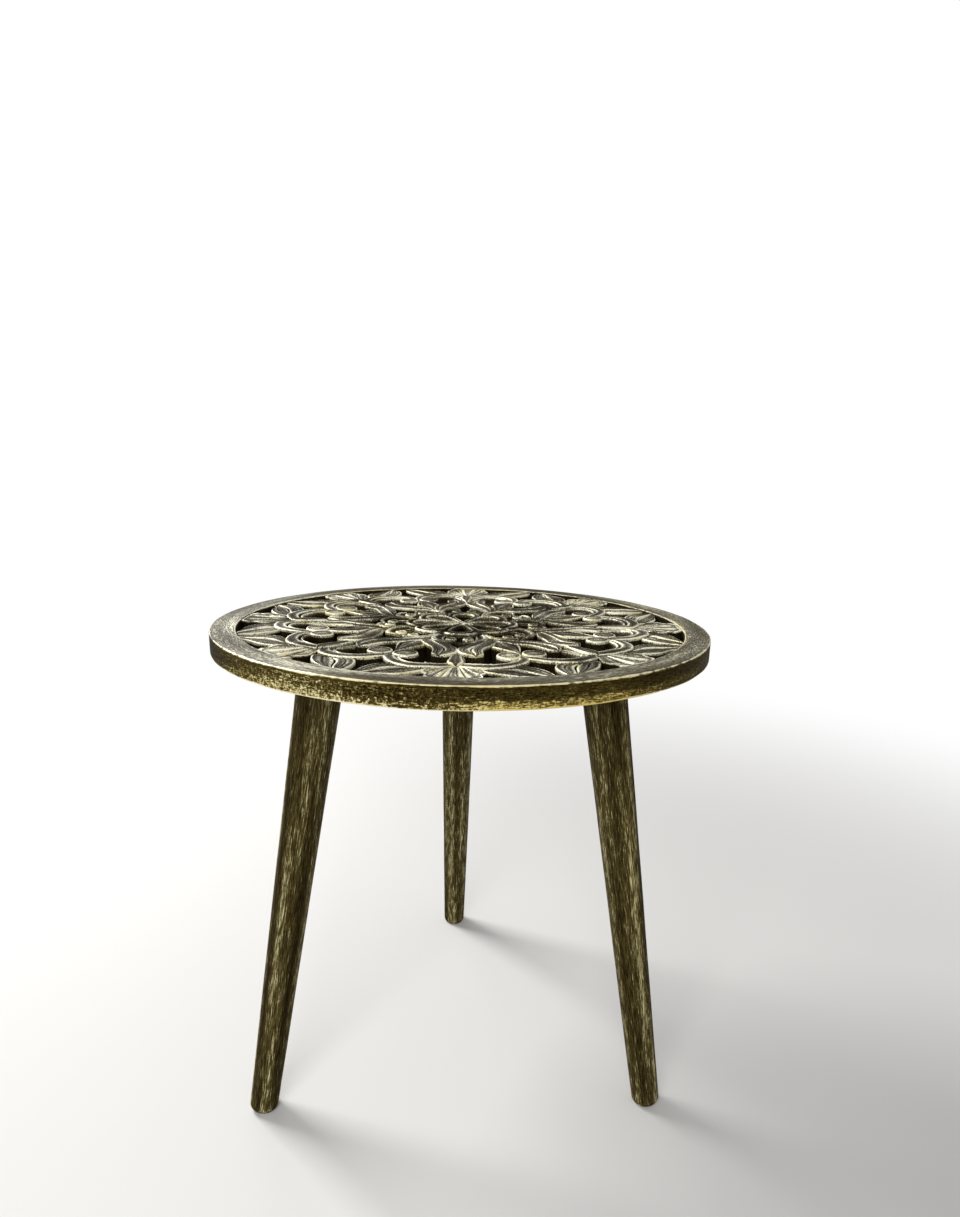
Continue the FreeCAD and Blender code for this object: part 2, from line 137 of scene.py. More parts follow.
def flowing_line(points, count):
    """Cubic Hermite pieces through the points, evenly sampled along the chords.
    Each point's slope is the weighted mean of its two chords' slopes, so the line has no kinks."""
    points = np.asarray(points, float)
    knots = chord_lengths(points)
    slopes = np.gradient(points, knots, axis=0)
    along = np.linspace(0.0, knots[-1], count)
    piece = np.clip(np.searchsorted(knots, along, side="right") - 1, 0, len(points) - 2)
    length = (knots[piece + 1] - knots[piece])[:, None]
    s = (along - knots[piece])[:, None] / length
    start, end = points[piece], points[piece + 1]
    leave, arrive = slopes[piece] * length, slopes[piece + 1] * length
    return ((2 * s**3 - 3 * s**2 + 1) * start + (s**3 - 2 * s**2 + s) * leave
            + (3 * s**2 - 2 * s**3) * end + (s**3 - s**2) * arrive)


def straight_line(points, count):
    """Straight runs through the points, evenly sampled along their length."""
    points = np.asarray(points, float)
    knots = chord_lengths(points)
    along = np.linspace(0.0, knots[-1], count)
    return np.stack([np.interp(along, knots, points[:, k]) for k in range(points.shape[1])], axis=1)


def smooth_step(low, high, value):
    """0 below low, 1 above high, and an S curve between them."""
    t = np.clip((np.asarray(value, float) - low) / (high - low), 0.0, 1.0)
    return t * t * (3 - 2 * t)


# %% [markdown]
# A carved motif is a sheet of relief with its edge sawn straight down to the back of the board.
# The relief is ruled: each point lies on the straight line from one edge of the motif to the other,
# and a profile says how high the wood stands there and how much brass has been rubbed on.
# The sheet's four borders are turned down and a flat back closes it, so each motif is one solid skin.

# %% Relief sheets and closed skins
# The border's steps, which are the arris, the wall and its foot: place from the outside, drop and rub
BORDER = ((2, 0.7, 0.85), (1, 1.8, 0.0), (0, 99.0, 0.0))
PROFILE_WIDTH = 12.0
COLUMNS = 18


def sampled_profile(profile, columns):
    """Share, height and rub along a profile, evenly spaced over its drawn length in millimetres."""
    share, height, rub = flowing_line(np.asarray(profile, float) * [PROFILE_WIDTH, 1.0, 1.0], columns).T
    return share / PROFILE_WIDTH, height, rub


def ruled_relief(edge, spine, profile, lift=((0, 0), (1, 0)), tips=(0.12, 0.12), columns=COLUMNS):
    """Rows along the two lines, columns from edge to spine: place = (1 - share) edge + share spine.
    The profile's (share, height, rub) is carried along; near each tip all heights close up to the edge's.
    The lift, in (share of the length, millimetres) pairs, raises or sinks whole rows."""
    share, height, rub = sampled_profile(profile, columns)
    along = np.linspace(0.0, 1.0, len(edge))
    open_up = np.ones_like(along)
    for tip, inwards in zip(tips, (along, 1.0 - along)):
        if tip:
            open_up = open_up * smooth_step(0.0, tip, inwards)
    raised = np.interp(along, *np.transpose(lift))
    place = (1 - share)[None, :, None] * edge[:, None] + share[None, :, None] * spine[:, None]
    z = profile[0][1] + (height - profile[0][1])[None] * open_up[:, None] + raised[:, None]
    return np.concatenate([place, z[..., None], np.broadcast_to(rub, z.shape)[..., None]], axis=2)


def leaf_relief(left, spine, right, profile, **shape):
    """Two ruled sheets that share a spine: left edge to spine, then spine to right edge."""
    one = ruled_relief(left, spine, profile, **shape)
    other = ruled_relief(right, spine, profile, **shape)
    return np.concatenate([one, other[:, -2::-1]], axis=1)


def quads(corner, beside, across, after):
    """Faces from four equal grids of vertex numbers."""
    return np.stack([corner, beside, across, after], axis=-1).reshape(-1, 4)


def grid_faces(rows, columns, start):
    """Corner numbers of the quads of a grid of vertices that is stored row by row."""
    corner = start + np.arange(rows * columns).reshape(rows, columns)
    return quads(corner[:-1, :-1], corner[:-1, 1:], corner[1:, 1:], corner[1:, :-1])


def closed_skin(top, foot, is_ring):
    """The sheet with its border turned down to the foot in three steps, and a flat back.
    The first step is the arris, which the cloth rubs brightest; the sawn wall below it stays dark."""
    wide = len(BORDER)
    sheet = np.pad(top, ((0, 0) if is_ring else (wide, wide), (wide, wide), (0, 0)), mode="edge")
    rows, columns = sheet.shape[:2]
    inset_row = np.minimum(np.arange(rows), np.arange(rows)[::-1]) + (wide if is_ring else 0)
    inset_column = np.minimum(np.arange(columns), np.arange(columns)[::-1])
    inset = np.minimum(inset_row[:, None], inset_column[None])
    edge_height = sheet[..., 2].copy()
    for step, drop, rub in BORDER:
        sheet[inset == step, 2] = np.maximum(edge_height[inset == step] - drop, foot)
        sheet[inset == step, 3] = rub
    back = top.copy()
    back[..., 2] = foot
    back[..., 3] = 0.0
    faces = [grid_faces(rows, columns, 0), grid_faces(*back.shape[:2], rows * columns)[:, ::-1]]
    return np.concatenate([sheet.reshape(-1, 4), back.reshape(-1, 4)]), np.concatenate(faces)


# %% [markdown]
# The pattern repeats eight times around the centre, and most motifs have a mirror image in each repeat.
# An Array modifier with a turning Empty could repeat them, but hand carving is never that regular,
# so the copies are made in numpy and then pushed about by a gentle wave of under a millimetre.
# The wave depends only on the place on the board, so neighbours that touch still touch.

# %% Copies around the table, and the mesh
REPEATS = 8
HALF_REPEAT = 180.0 / REPEATS
CARVING_TURN = -3.0
CARVING_RADIUS_DRAWN = 203.0
HAND_SWAY, HAND_LIFT = 0.35, 0.18
# Waves over the board: radians a millimetre along x and along y, and the start
SWAY_X = ((0.093, 0.061, 0.7), (-0.041, 0.157, 2.1))
SWAY_Y = ((-0.107, 0.081, 1.3), (0.149, 0.033, 4.4))
SINK_WAVES = ((0.071, -0.113, 0.0), (0.127, 0.052, 0.9))
STILL_BELOW = 5.0
# A weak rub leaves even less brass, and the rub grows from the middle of the board, in millimetres, outwards
RUB_BITE = 1.5
RUB_REACH = [(40, 0.8), (80, 0.84), (125, 0.98), (165, 1.04), (203, 1.1)]
SHARP_ANGLE = math.radians(50)
MERGE_DISTANCE = 2e-6


def around_table(top, foot, is_ring=False, mirrored=True):
    """Eight closed copies turned about the centre, with mirror images whose faces run the other way round."""
    points, faces = closed_skin(top, foot, is_ring)
    sides = [(points, faces)]
    if mirrored:
        sides.append((points * [-1, 1, 1, 1], faces[:, ::-1]))
    all_points, all_faces, start = [], [], 0
    for side_points, side_faces in sides:
        for k in range(REPEATS):
            turn = turned_about_z(CARVING_TURN + 360.0 * k / REPEATS)
            copy = side_points.copy()
            copy[:, :3] = side_points[:, :3] @ turn.T
            all_points.append(copy)
            all_faces.append(side_faces + start)
            start += len(copy)
    return np.concatenate(all_points), np.concatenate(all_faces)


def phases(x, y, waves):
    """a x + b y + c for each of the waves."""
    return [a * x + b * y + c for a, b, c in waves]


def hand_carved(points):
    """A slow wave over the board: each point sways sideways and the crests rise and fall a little."""
    x, y, z = points[:, 0], points[:, 1], points[:, 2]
    one, two = phases(x, y, SINK_WAVES)
    sink = HAND_LIFT * (1.0 + np.sin(one) * np.cos(two))
    out = points.copy()
    out[:, 0] += HAND_SWAY * sum(np.sin(phases(x, y, SWAY_X)))
    out[:, 1] += HAND_SWAY * sum(np.sin(phases(x, y, SWAY_Y)))
    out[:, 2] -= np.where(z > STILL_BELOW, sink, 0.0)
    return out


def new_piece(name, points, faces, **attributes):
    """A mesh object from arrays in metres: doubles merged, loose edges cleared, faces turned outwards.
    The other arrays, such as the rub and the grain's direction, go along as vertex attributes."""
    mesh = bpy.data.meshes.new(name)
    mesh.from_pydata(points.tolist(), [], faces.tolist())
    for label, values in attributes.items():
        kind, field = ("FLOAT_VECTOR", "vector") if values.ndim == 2 else ("FLOAT", "value")
        mesh.attributes.new(label, kind, "POINT").data.foreach_set(field, values.astype(np.float32).ravel())
    work = bmesh.new()
    work.from_mesh(mesh)
    bmesh.ops.remove_doubles(work, verts=work.verts, dist=MERGE_DISTANCE)
    bmesh.ops.delete(work, geom=[edge for edge in work.edges if not edge.link_faces], context="EDGES")
    bmesh.ops.delete(work, geom=[vert for vert in work.verts if not vert.link_faces], context="VERTS")
    bmesh.ops.recalc_face_normals(work, faces=work.faces)
    work.to_mesh(mesh)
    work.free()
    mesh.shade_smooth()
    mesh.set_sharp_from_angle(angle=SHARP_ANGLE)
    return into_scene(name, mesh)


carving = []


def carve(name, *skins):
    """One piece of the carving from skins drawn in millimetres, set in its place under the rim's edge."""
    starts = np.cumsum([0] + [len(points) for points, faces in skins[:-1]])
    points = hand_carved(np.concatenate([points for points, faces in skins]))
    faces = np.concatenate([faces + start for (_, faces), start in zip(skins, starts)])
    growth = np.interp(np.hypot(points[:, 0], points[:, 1]), *np.transpose(RUB_REACH))
    rub = np.clip(points[:, 3], 0, 1) ** RUB_BITE * growth
    points[:, :2] *= PANEL_RADIUS / MM / CARVING_RADIUS_DRAWN
    points[:, 2] = np.clip(points[:, 2], 0.0, CARVING_HEIGHT / MM)
    place = points[:, :3] * MM + [0.0, 0.0, UNDERSIDE]
    piece = new_piece(name, place, faces, rub=rub)
    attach(piece, "top")
    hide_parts("carved_panel")
    carving.append(piece)
    print(f"{name}: {len(piece.data.polygons)} faces")


# %% [markdown]
# The middle is a flower of eight open petals. Each petal is a band round a drop-shaped eye:
# a thin ridge runs along the eye, another along the scalloped outside, with a hollow between them.
# Towards the hub two neighbours' ridges draw together into one spoke.

# %% Petals of the middle flower
PETAL_EYE_SIDE = [(0, 5.6), (1.6, 9.5), (3.5, 14), (6.2, 22), (8.6, 30.5)]
PETAL_EYE_END = [(8.6, 30.5), (9.3, 35), (7.9, 39.8), (4.6, 43), (0, 44)]
PETAL_NOTCH = (16.75, 40.3)
PETAL_SCALLOP = [PETAL_NOTCH, (15.6, 44.6), (12.4, 48.6), (7.2, 51.7), (0, 52.8)]
SCALLOP_PROFILE = [
    (0, 14.6, 0.6), (0.05, 16.2, 1.0), (0.15, 16.9, 1.0), (0.27, 16.6, 0.6), (0.38, 14.2, 0.3),
    (0.5, 13.6, 0.22), (0.62, 14.2, 0.3), (0.73, 16.5, 0.65), (0.86, 16.9, 1.0), (0.96, 16.0, 1.0),
    (1, 14.6, 0.5)]
SPOKE_PROFILE = [
    (0, 14.0, 0.5), (0.08, 15.8, 0.95), (0.24, 16.8, 1.0), (0.4, 16.3, 0.65), (0.6, 14.4, 0.28),
    (0.8, 13.8, 0.2), (1, 13.4, 0.1)]
PETAL_SIDE_ROWS, PETAL_END_ROWS, PETAL_COLUMNS = 26, 20, 25
# Along half a loop: where the spoke's profile turns into the scallop's, and where two spokes have parted
TURN_OVER, SPOKES_PART = (0.45, 0.75), (0.0, 0.3)
# How much higher and brighter two spokes are where they are one
HUB_RISE = (3.2, 0.9)


def petal_band():
    """Half a loop from the hub out along the spoke and over the scallop, then its mirror image back."""
    eye = np.concatenate([flowing_line(PETAL_EYE_SIDE, PETAL_SIDE_ROWS),
                          flowing_line(PETAL_EYE_END, PETAL_END_ROWS)[1:]])
    outside = np.concatenate([straight_line([(0, 0), PETAL_NOTCH], PETAL_SIDE_ROWS),
                              flowing_line(PETAL_SCALLOP, PETAL_END_ROWS)[1:]])
    along = (np.arange(len(eye)) / (len(eye) - 1.0))[:, None, None]
    spoke, scallop = (ruled_relief(eye, outside, profile, tips=(0, 0), columns=PETAL_COLUMNS)
                      for profile in (SPOKE_PROFILE, SCALLOP_PROFILE))
    turn_over = smooth_step(*TURN_OVER, along)
    band = (1 - turn_over) * spoke + turn_over * scallop
    merged = 1 - smooth_step(*SPOKES_PART, along)
    middle = PETAL_COLUMNS // 2
    rise = np.linspace(0.0, 1.0, PETAL_COLUMNS - middle)[:, None]
    band[:, middle:, 2:] += np.array(HUB_RISE) * merged * rise
    mirrored = band[::-1] * [-1, 1, 1, 1]
    return np.concatenate([band, mirrored[1:]])


carve("carving_petals", around_table(petal_band(), foot=0.0, is_ring=True, mirrored=False))

# %% [markdown]
# Between the petals a stem runs out and splits into two crooks that curl towards each other.
# Each crook is a band with its crest on the outside, and ends in a small domed knob.
# A low bridge, left by the saw, ties the two facing knobs together.

# %% Crooks, knobs and bridges
CROOK_INSIDE = [
    (12.6, 44), (13.6, 50), (14.4, 57), (14.0, 62.5), (12.6, 66.5), (10.5, 69.5), (7.6, 70.5), (4.4, 69)]
CROOK_OUTSIDE = [
    (17.6, 42), (20.0, 49), (22.8, 56), (24.8, 62.5), (23.6, 69), (19.2, 75), (12.6, 78.8), (6.2, 77.4),
    (2.4, 72.5)]
CROOK_PROFILE = [
    (0, 13.2, 0.5), (0.06, 14.6, 0.95), (0.2, 14.2, 0.4), (0.42, 13.6, 0.3), (0.56, 14.6, 0.34),
    (0.68, 16.5, 0.9), (0.78, 16.9, 0.9), (0.93, 16.5, 0.8), (0.97, 16.2, 1.0), (1, 15.2, 0.6)]
KNOB_CENTRE, KNOB_RADIUS = (7.6, 66.6), 5.4
KNOB_PROFILE = [
    (0, 12.4, 0.4), (0.1, 14.6, 1.0), (0.3, 15.8, 0.9), (0.45, 15.0, 0.25), (0.65, 15.8, 0.7),
    (1, 16.2, 0.75)]
BRIDGE_SIDE = [(0, 59.5), (4.0, 62), (4.4, 68), (3.6, 74), (0, 76.6)]
BRIDGE_PROFILE = [(0, 9.0, 0.1), (0.3, 10.8, 0.3), (1, 11.4, 0.35)]


def drawn_band(inside, outside, profile, rows, **shape):
    """A band between two drawn lines."""
    return ruled_relief(flowing_line(inside, rows), flowing_line(outside, rows), profile, **shape)


def dome_relief(centre, radius, profile, spokes, columns):
    """Rings about a centre: place = centre + (1 - share) radius (cos, sin).
    The profile runs from the rim to the middle."""
    share, height, rub = sampled_profile(profile, columns)
    angle = np.linspace(0.0, 2 * math.pi, spokes + 1)[:, None]
    reach = radius * (1 - share)[None]
    ring = [centre[0] + reach * np.cos(angle), centre[1] + reach * np.sin(angle)]
    flat = np.ones_like(angle)
    return np.stack(ring + [flat * height, flat * rub], axis=2)


def mirrored_line(points):
    """The same line on the other side of the palmette's axis."""
    return [(-x, y) for x, y in points]


def even_leaf(side, profile, rows, **shape):
    """A leaf between a drawn side and its mirror image, with a straight spine from end to end."""
    return leaf_relief(flowing_line(side, rows), straight_line([side[0], side[-1]], rows),
                       flowing_line(mirrored_line(side), rows), profile, **shape)


crook = drawn_band(CROOK_INSIDE, CROOK_OUTSIDE, CROOK_PROFILE, rows=44, columns=20,
                   lift=((0, -3.5), (0.22, 0), (1, -1)), tips=(0, 0.1))
knob = dome_relief(KNOB_CENTRE, KNOB_RADIUS, KNOB_PROFILE, spokes=28, columns=12)
bridge = even_leaf(BRIDGE_SIDE, BRIDGE_PROFILE, rows=20, columns=6)
carve("carving_crooks", around_table(crook, foot=0.1), around_table(knob, foot=0.2, is_ring=True))
carve("carving_bridges", around_table(bridge, foot=0.3, mirrored=False))

# %% [markdown]
# Two long tulip leaves lean together on each palmette's axis. Each has two rounded lobes
# and a deep groove that the gouge left between them, and is cut off blunt at the end.

# %% Tulip leaves
TULIP_ROOT, TULIP_TIP = (26.2, 63.5), (15, 129.4)
TULIP_LEFT = [
    TULIP_ROOT, (23.4, 72), (17.4, 79.2), (11.6, 84.2), (7.6, 91.5), (3.6, 99.5), (0.6, 105), (-0.4, 110),
    (0.2, 116), (3.2, 122), (8.4, 127), TULIP_TIP]
TULIP_GROOVE = [
    TULIP_ROOT, (24.6, 76), (21, 86.5), (16.4, 97), (12, 106), (10.2, 113), (11.2, 120), TULIP_TIP]
TULIP_RIGHT = [
    TULIP_ROOT, (30.2, 72.6), (31.6, 79), (29.2, 88), (25.6, 95.6), (21.8, 102.5), (19.9, 110),
    (19.9, 118), (20.2, 125.5), TULIP_TIP]
TULIP_PROFILE = [
    (0, 15.0, 0.8), (0.04, 16.2, 1.0), (0.1, 16.6, 0.75), (0.22, 16.2, 0.35), (0.36, 16.5, 0.6),
    (0.42, 16.4, 0.55), (0.46, 15.4, 0.05), (0.5, 15.4, 0.05), (0.54, 16.4, 0.6), (0.68, 16.6, 0.42),
    (0.8, 17.0, 0.75), (0.88, 16.8, 0.95), (0.95, 14.8, 0.15), (1, 13.2, 0.0)]


def drawn_leaf(left, spine, right, profile, rows, **shape):
    """A leaf whose two edges and spine are drawn lines."""
    return leaf_relief(*(flowing_line(line, rows) for line in (left, spine, right)), profile, **shape)


tulip = drawn_leaf(TULIP_LEFT, TULIP_GROOVE, TULIP_RIGHT, TULIP_PROFILE, rows=56, columns=24,
                   lift=((0, -3), (0.2, 0), (1, 0)), tips=(0.1, 0.06))
carve("carving_tulips", around_table(tulip, foot=0.4))

# %% [markdown]
# A pointed bud fills the space between two neighbouring tulips: a kite with a soft crown.
# Along its two outer sides a slit parts a raised strip from the crown, so those rows take another profile.

# %% Buds
BUD_SIDE = [(0, 84), (6.8, 92.5), (12.6, 102), (9.4, 111.5), (0, 129.5)]
BUD_CROWN = [
    (0, 14.8, 0.7), (0.06, 16.2, 1.0), (0.2, 16.4, 0.5), (0.5, 16.4, 0.4), (0.8, 16.7, 0.6),
    (1, 17.0, 0.85)]
BUD_STRIP = [
    (0, 15.4, 0.8), (0.05, 16.6, 1.0), (0.16, 16.8, 0.9), (0.22, 15.8, 0.5), (0.28, 13.0, 0.0),
    (0.33, 13.0, 0.0), (0.4, 15.8, 0.8), (0.6, 16.3, 0.45), (0.8, 16.6, 0.5), (1, 16.9, 0.7)]
BUD_ROWS, BUD_TIPS = 46, (0.16, 0.12)
# Where along the bud the crown's profile turns into the strip's
STRIP_STARTS = (0.36, 0.46)


def on_half_axis(sheet):
    """The sheet turned from the palmette's axis to the axis between two palmettes."""
    turned = sheet.copy()
    turned[..., :3] = sheet[..., :3] @ turned_about_z(-HALF_REPEAT).T
    return turned


def bud_relief():
    """A kite from its edges to its axis: the crown's profile first, the strip's past the side corners."""
    axis = [BUD_SIDE[0], BUD_SIDE[-1]]
    lines = [straight_line(points, BUD_ROWS) for points in (BUD_SIDE, axis, mirrored_line(BUD_SIDE))]
    crown, strip = (leaf_relief(*lines, profile, tips=BUD_TIPS) for profile in (BUD_CROWN, BUD_STRIP))
    past_corner = smooth_step(*STRIP_STARTS, np.linspace(0.0, 1.0, BUD_ROWS))[:, None, None]
    return (1 - past_corner) * crown + past_corner * strip


carve("carving_buds", around_table(on_half_axis(bud_relief()), foot=0.5, mirrored=False))

# %% [markdown]
# The great C-scrolls carry the pattern. Seen across, each has a dark hollow bowl inside,
# a thin ridge, a groove, and then the broad crest that falls off to the outside.
# It winds from the spear on the palmette's axis round to a ball.

# %% Scrolls, balls and spears
SCROLL_INSIDE = [
    (8.8, 124.5), (9.8, 130), (12.6, 135.8), (17.4, 139.8), (24.6, 141.3), (30.6, 140), (33.6, 136),
    (34.2, 130.5)]
SCROLL_OUTSIDE = [
    (2.8, 123.5), (4.0, 132), (4.6, 142), (3.0, 150.5), (0.4, 157.6), (4.4, 162), (9.8, 166.2),
    (15.4, 168.8), (23.4, 169.8), (33, 168.2), (42, 163.2), (49.6, 155.4), (54.8, 146), (56.6, 137),
    (54.8, 129.6), (50.6, 122.5)]
SCROLL_PROFILE = [
    (0, 9.2, 0.3), (0.04, 10.0, 0.6), (0.1, 9.6, 0.3), (0.3, 9.8, 0.15), (0.42, 11.8, 0.25),
    (0.48, 15.0, 0.8), (0.515, 15.9, 1.0), (0.55, 15.0, 0.5), (0.58, 13.4, 0.0), (0.62, 15.6, 0.6),
    (0.66, 16.9, 1.0), (0.74, 16.6, 0.5), (0.86, 16.4, 0.45), (0.95, 16.8, 0.85), (0.98, 16.6, 1.0),
    (1, 15.4, 0.7)]
BALL_CENTRE, BALL_RADIUS = (40.6, 127.2), 10.2
BALL_PROFILE = [
    (0, 15.2, 0.8), (0.05, 16.5, 1.0), (0.12, 16.9, 0.9), (0.2, 16.3, 0.35), (0.3, 16.3, 0.5),
    (0.65, 16.6, 0.66), (1, 16.7, 0.72)]
SPEAR_SIDE = [(0, 123), (2.6, 127.5), (4.6, 134), (6.0, 143), (6.8, 151), (5.6, 156), (0, 160.5)]
SPEAR_PROFILE = [
    (0, 14.8, 0.7), (0.12, 16.3, 1.0), (0.28, 16.9, 0.8), (0.55, 16.4, 0.4), (0.8, 16.4, 0.4),
    (1, 16.7, 0.6)]

scroll = drawn_band(SCROLL_INSIDE, SCROLL_OUTSIDE, SCROLL_PROFILE, rows=66, columns=36,
                    lift=((0, -3.2), (0.3, -1.6), (0.45, 0), (0.85, 0), (1, -2)), tips=(0, 0.05))
ball = dome_relief(BALL_CENTRE, BALL_RADIUS, BALL_PROFILE, spokes=44, columns=20)
spear = even_leaf(SPEAR_SIDE, SPEAR_PROFILE, rows=40, columns=12, tips=(0.15, 0.1))
carve("carving_scrolls", around_table(scroll, foot=0.6))
carve("carving_balls", around_table(ball, foot=0.7, is_ring=True))
carve("carving_spears", around_table(spear, foot=0.8, mirrored=False))

# %% [markdown]
# A fan opens below each spear and runs into the rim. Its ribs spread from one point, so its grid does too:
# one parameter runs out along the ribs, the other across them, and the height is a profile over the angle.
# V cuts part the lobes, deepest half way out, and the end of the fan is scalloped.

# %% Fans
FAN_START = [(3.4, 159.5), (0, 158.5), (-3.4, 159.5)]
FAN_END_HALF = [
    (15.6, 173.6), (20.6, 177.2), (23.0, 182.6), (22.4, 187.4), (19.6, 191.2), (20.4, 195.2), (18.6, 200),
    (15.4, 203.6), (7.8, 204.6)]
FAN_ANGLES = [0, 3.6, 4.6, 5.6, 9, 11.3, 13, 14.7, 17, 19.8, 20.8, 21.8, 24, 27, 28.6, 30.2, 33, 40, 45]
FAN_HEIGHTS = [
    16.5, 16.6, 15.8, 16.6, 17.0, 16.7, 12.4, 16.4, 16.9, 16.6, 15.8, 16.6, 16.5, 16.3, 12.6, 16.0, 16.5,
    16.0, 15.4]
FAN_RUBS = [
    0.5, 0.75, 0.1, 0.75, 0.95, 1.0, 0.0, 1.0, 0.8, 0.7, 0.1, 0.7, 0.58, 0.95, 0.0, 0.95, 0.7, 0.65, 0.9]
FAN_TIP = (0, 204.8)
FAN_COLUMNS, FAN_ROWS = 121, 40
FAN_CREST, FAN_ROOT_SINKS, FAN_END_RISES = 16.6, 2.4, 0.4
FAN_PLAIN_RUB, FAN_END_RUB = 0.5, 0.95
# Shares of the way out: the cuts deepen and run out, the root and the end bend, the edge brightens
CUTS_DEEPEN, CUTS_RUN_OUT, CUTS_LOSE = (0.02, 0.35), (0.8, 0.96), 0.8
ROOT_BENDS, END_BENDS, EDGE_BRIGHTENS = (0.0, 0.3), (0.6, 1.0), (0.86, 0.96)


def fan_relief():
    """Straight ribs from a short start line to the scalloped end; height and rub follow each rib's angle."""
    end = flowing_line(FAN_END_HALF + [FAN_TIP] + mirrored_line(FAN_END_HALF)[::-1], FAN_COLUMNS)
    start = flowing_line(FAN_START, FAN_COLUMNS)
    out = np.linspace(0.0, 1.0, FAN_ROWS)[:, None]
    place = (1 - out)[..., None] * start + out[..., None] * end
    angle = np.abs(np.degrees(np.arctan2(end[:, 0], end[:, 1] - FAN_START[1][1])))
    depth = smooth_step(*CUTS_DEEPEN, out) * (1 - CUTS_LOSE * smooth_step(*CUTS_RUN_OUT, out))
    crest = (FAN_CREST - FAN_ROOT_SINKS * (1 - smooth_step(*ROOT_BENDS, out))
             + FAN_END_RISES * smooth_step(*END_BENDS, out))
    height = crest + (np.interp(angle, FAN_ANGLES, FAN_HEIGHTS) - FAN_CREST)[None] * depth
    rub = np.interp(angle, FAN_ANGLES, FAN_RUBS)[None] * depth + FAN_PLAIN_RUB * (1 - depth)
    rub = np.maximum(rub, FAN_END_RUB * smooth_step(*EDGE_BRIGHTENS, out))
    return np.concatenate([place, height[..., None], rub[..., None]], axis=2)


carve("carving_fans", around_table(fan_relief(), foot=0.9, mirrored=False))

# %% [markdown]
# A broad leaf springs from under each scroll, on both sides of the fan, and its point runs into the rim.
# A deep S-shaped midrib parts its two lobes, and its edges are rubbed bright.

# %% Outer leaves
LEAF_BASE, LEAF_POINT = (36, 162), (72.6, 191.6)
LEAF_UPPER = [
    LEAF_BASE, (26, 166.5), (20.4, 172), (21.6, 177.4), (27, 182.6), (33.4, 187), (41, 189.6),
    (50, 190.2), (58, 191.2), (65, 193.4), LEAF_POINT]
LEAF_MIDRIB = [
    LEAF_BASE, (34.6, 168.6), (38.6, 171.8), (45, 174), (51, 177.6), (56.4, 182.2), (62, 187.2),
    LEAF_POINT]
LEAF_LOWER = [
    LEAF_BASE, (44, 160.2), (51.4, 160.4), (58.6, 164.2), (65, 170.4), (69.2, 178), (71.6, 185),
    LEAF_POINT]
LEAF_PROFILE = [
    (0, 15.2, 0.8), (0.03, 16.4, 1.0), (0.08, 16.7, 0.8), (0.13, 16.1, 0.35), (0.28, 16.4, 0.5),
    (0.4, 16.6, 0.66), (0.44, 16.3, 0.45), (0.47, 15.4, 0.05), (0.5, 15.4, 0.05), (0.53, 16.4, 0.62),
    (0.66, 16.4, 0.4), (0.78, 16.8, 0.6), (0.86, 17.0, 0.85), (0.92, 16.7, 0.95), (0.96, 14.8, 0.15),
    (1, 13.2, 0.0)]

outer_leaf = drawn_leaf(LEAF_UPPER, LEAF_MIDRIB, LEAF_LOWER, LEAF_PROFILE, rows=52, columns=26,
                        lift=((0, -3), (0.3, -0.3), (0.5, 0), (1, 0)), tips=(0.1, 0.08))
carve("carving_leaves", around_table(outer_leaf, foot=1.0))

# %% [markdown]
# The rim is a flat ring turned on a lathe, its edges worn round by rubbing down.
# The solid model's ring is cut into facets, so a finer one is swept here: a closed profile of radius
# and height, carried round the axis. The rounding of its edges wanders a little, as hand work does.

# %% Rim
RIM_WIDTH = 22.0 * MM
EDGE_ROUND = 1.6 * MM
RIM_STEPS, CORNER_STEPS = 360, 6
# The rounding's waves: size, number around the rim and start
EDGE_WAVES = ((0.22, 5, 0.4), (0.16, 13, 1.9), (0.1, 29, 0.0))
RIM_GRAIN_STRETCH = 10.0
# Rub on the section's corners, from outside below over the top; columns and rub of the flat after each
CORNER_RUBS = [[0.2, 0.5, 0.8, 0.85, 0.6, 0.3], [0.34, 0.6, 0.84, 0.96, 0.74, 0.54],
               [0.6, 0.9, 1.0, 0.8, 0.4, 0.1], [0.1] * CORNER_STEPS]
FLAT_RUBS = [(6, 0.26), (8, 0.56), (4, 0.08), (4, 0.1)]
# Spread around the rim: first and last column of the section, then degrees and amounts
LOW_GILT = (0, 7, [
    (180, 0.1), (215, 0.4), (245, 0.1), (265, 0.2), (276, 0.7), (298, 0.75), (312, 0.25), (340, 0.1)])
HIGH_GILT = (13, 16, [(180, 0.0), (225, 0.0), (250, 0.3), (270, 0.5), (290, 0.3), (310, 0.3), (350, 0.1)])
FLECKS = (0, 11, [
    (0, 0.1), (60, 0.3), (120, 0.4), (170, 0.1), (200, 0.15), (212, 0.35), (232, 0.45), (248, 0.58),
    (260, 0.56), (272, 0.4), (300, 0.2), (360, 0.1)])
# Painted light on the rim's top, taken from its rub: painted shade towards the back, and a painted sheen of
# the lamps' reflection on the left and, less, on the right
TOP_PAINTED_SHEEN_AND_SHADE = (17, 27, [
    (0, -0.04), (55, 0.1), (90, 0.2), (125, 0.14), (160, -0.06), (190, -0.13), (215, -0.1), (245, 0.0),
    (270, 0.04), (360, -0.04)])
# Painted shade on the rim's outer side, taken from its rub: darkest on the left, where less light falls, and
# a little on the right
SIDE_PAINTED_SHADE = (5, 11, [
    (0, 0.06), (90, 0.0), (150, 0.04), (180, 0.16), (204, 0.14), (216, 0.0), (270, 0.0), (300, 0.03),
    (360, 0.06)])
OUTSIDE = (0, 13, [(0, 1.0)])


def full_turn(steps):
    """Even steps once around an axis, as a column of angles."""
    return np.linspace(0.0, 2 * math.pi, steps, endpoint=False)[:, None]


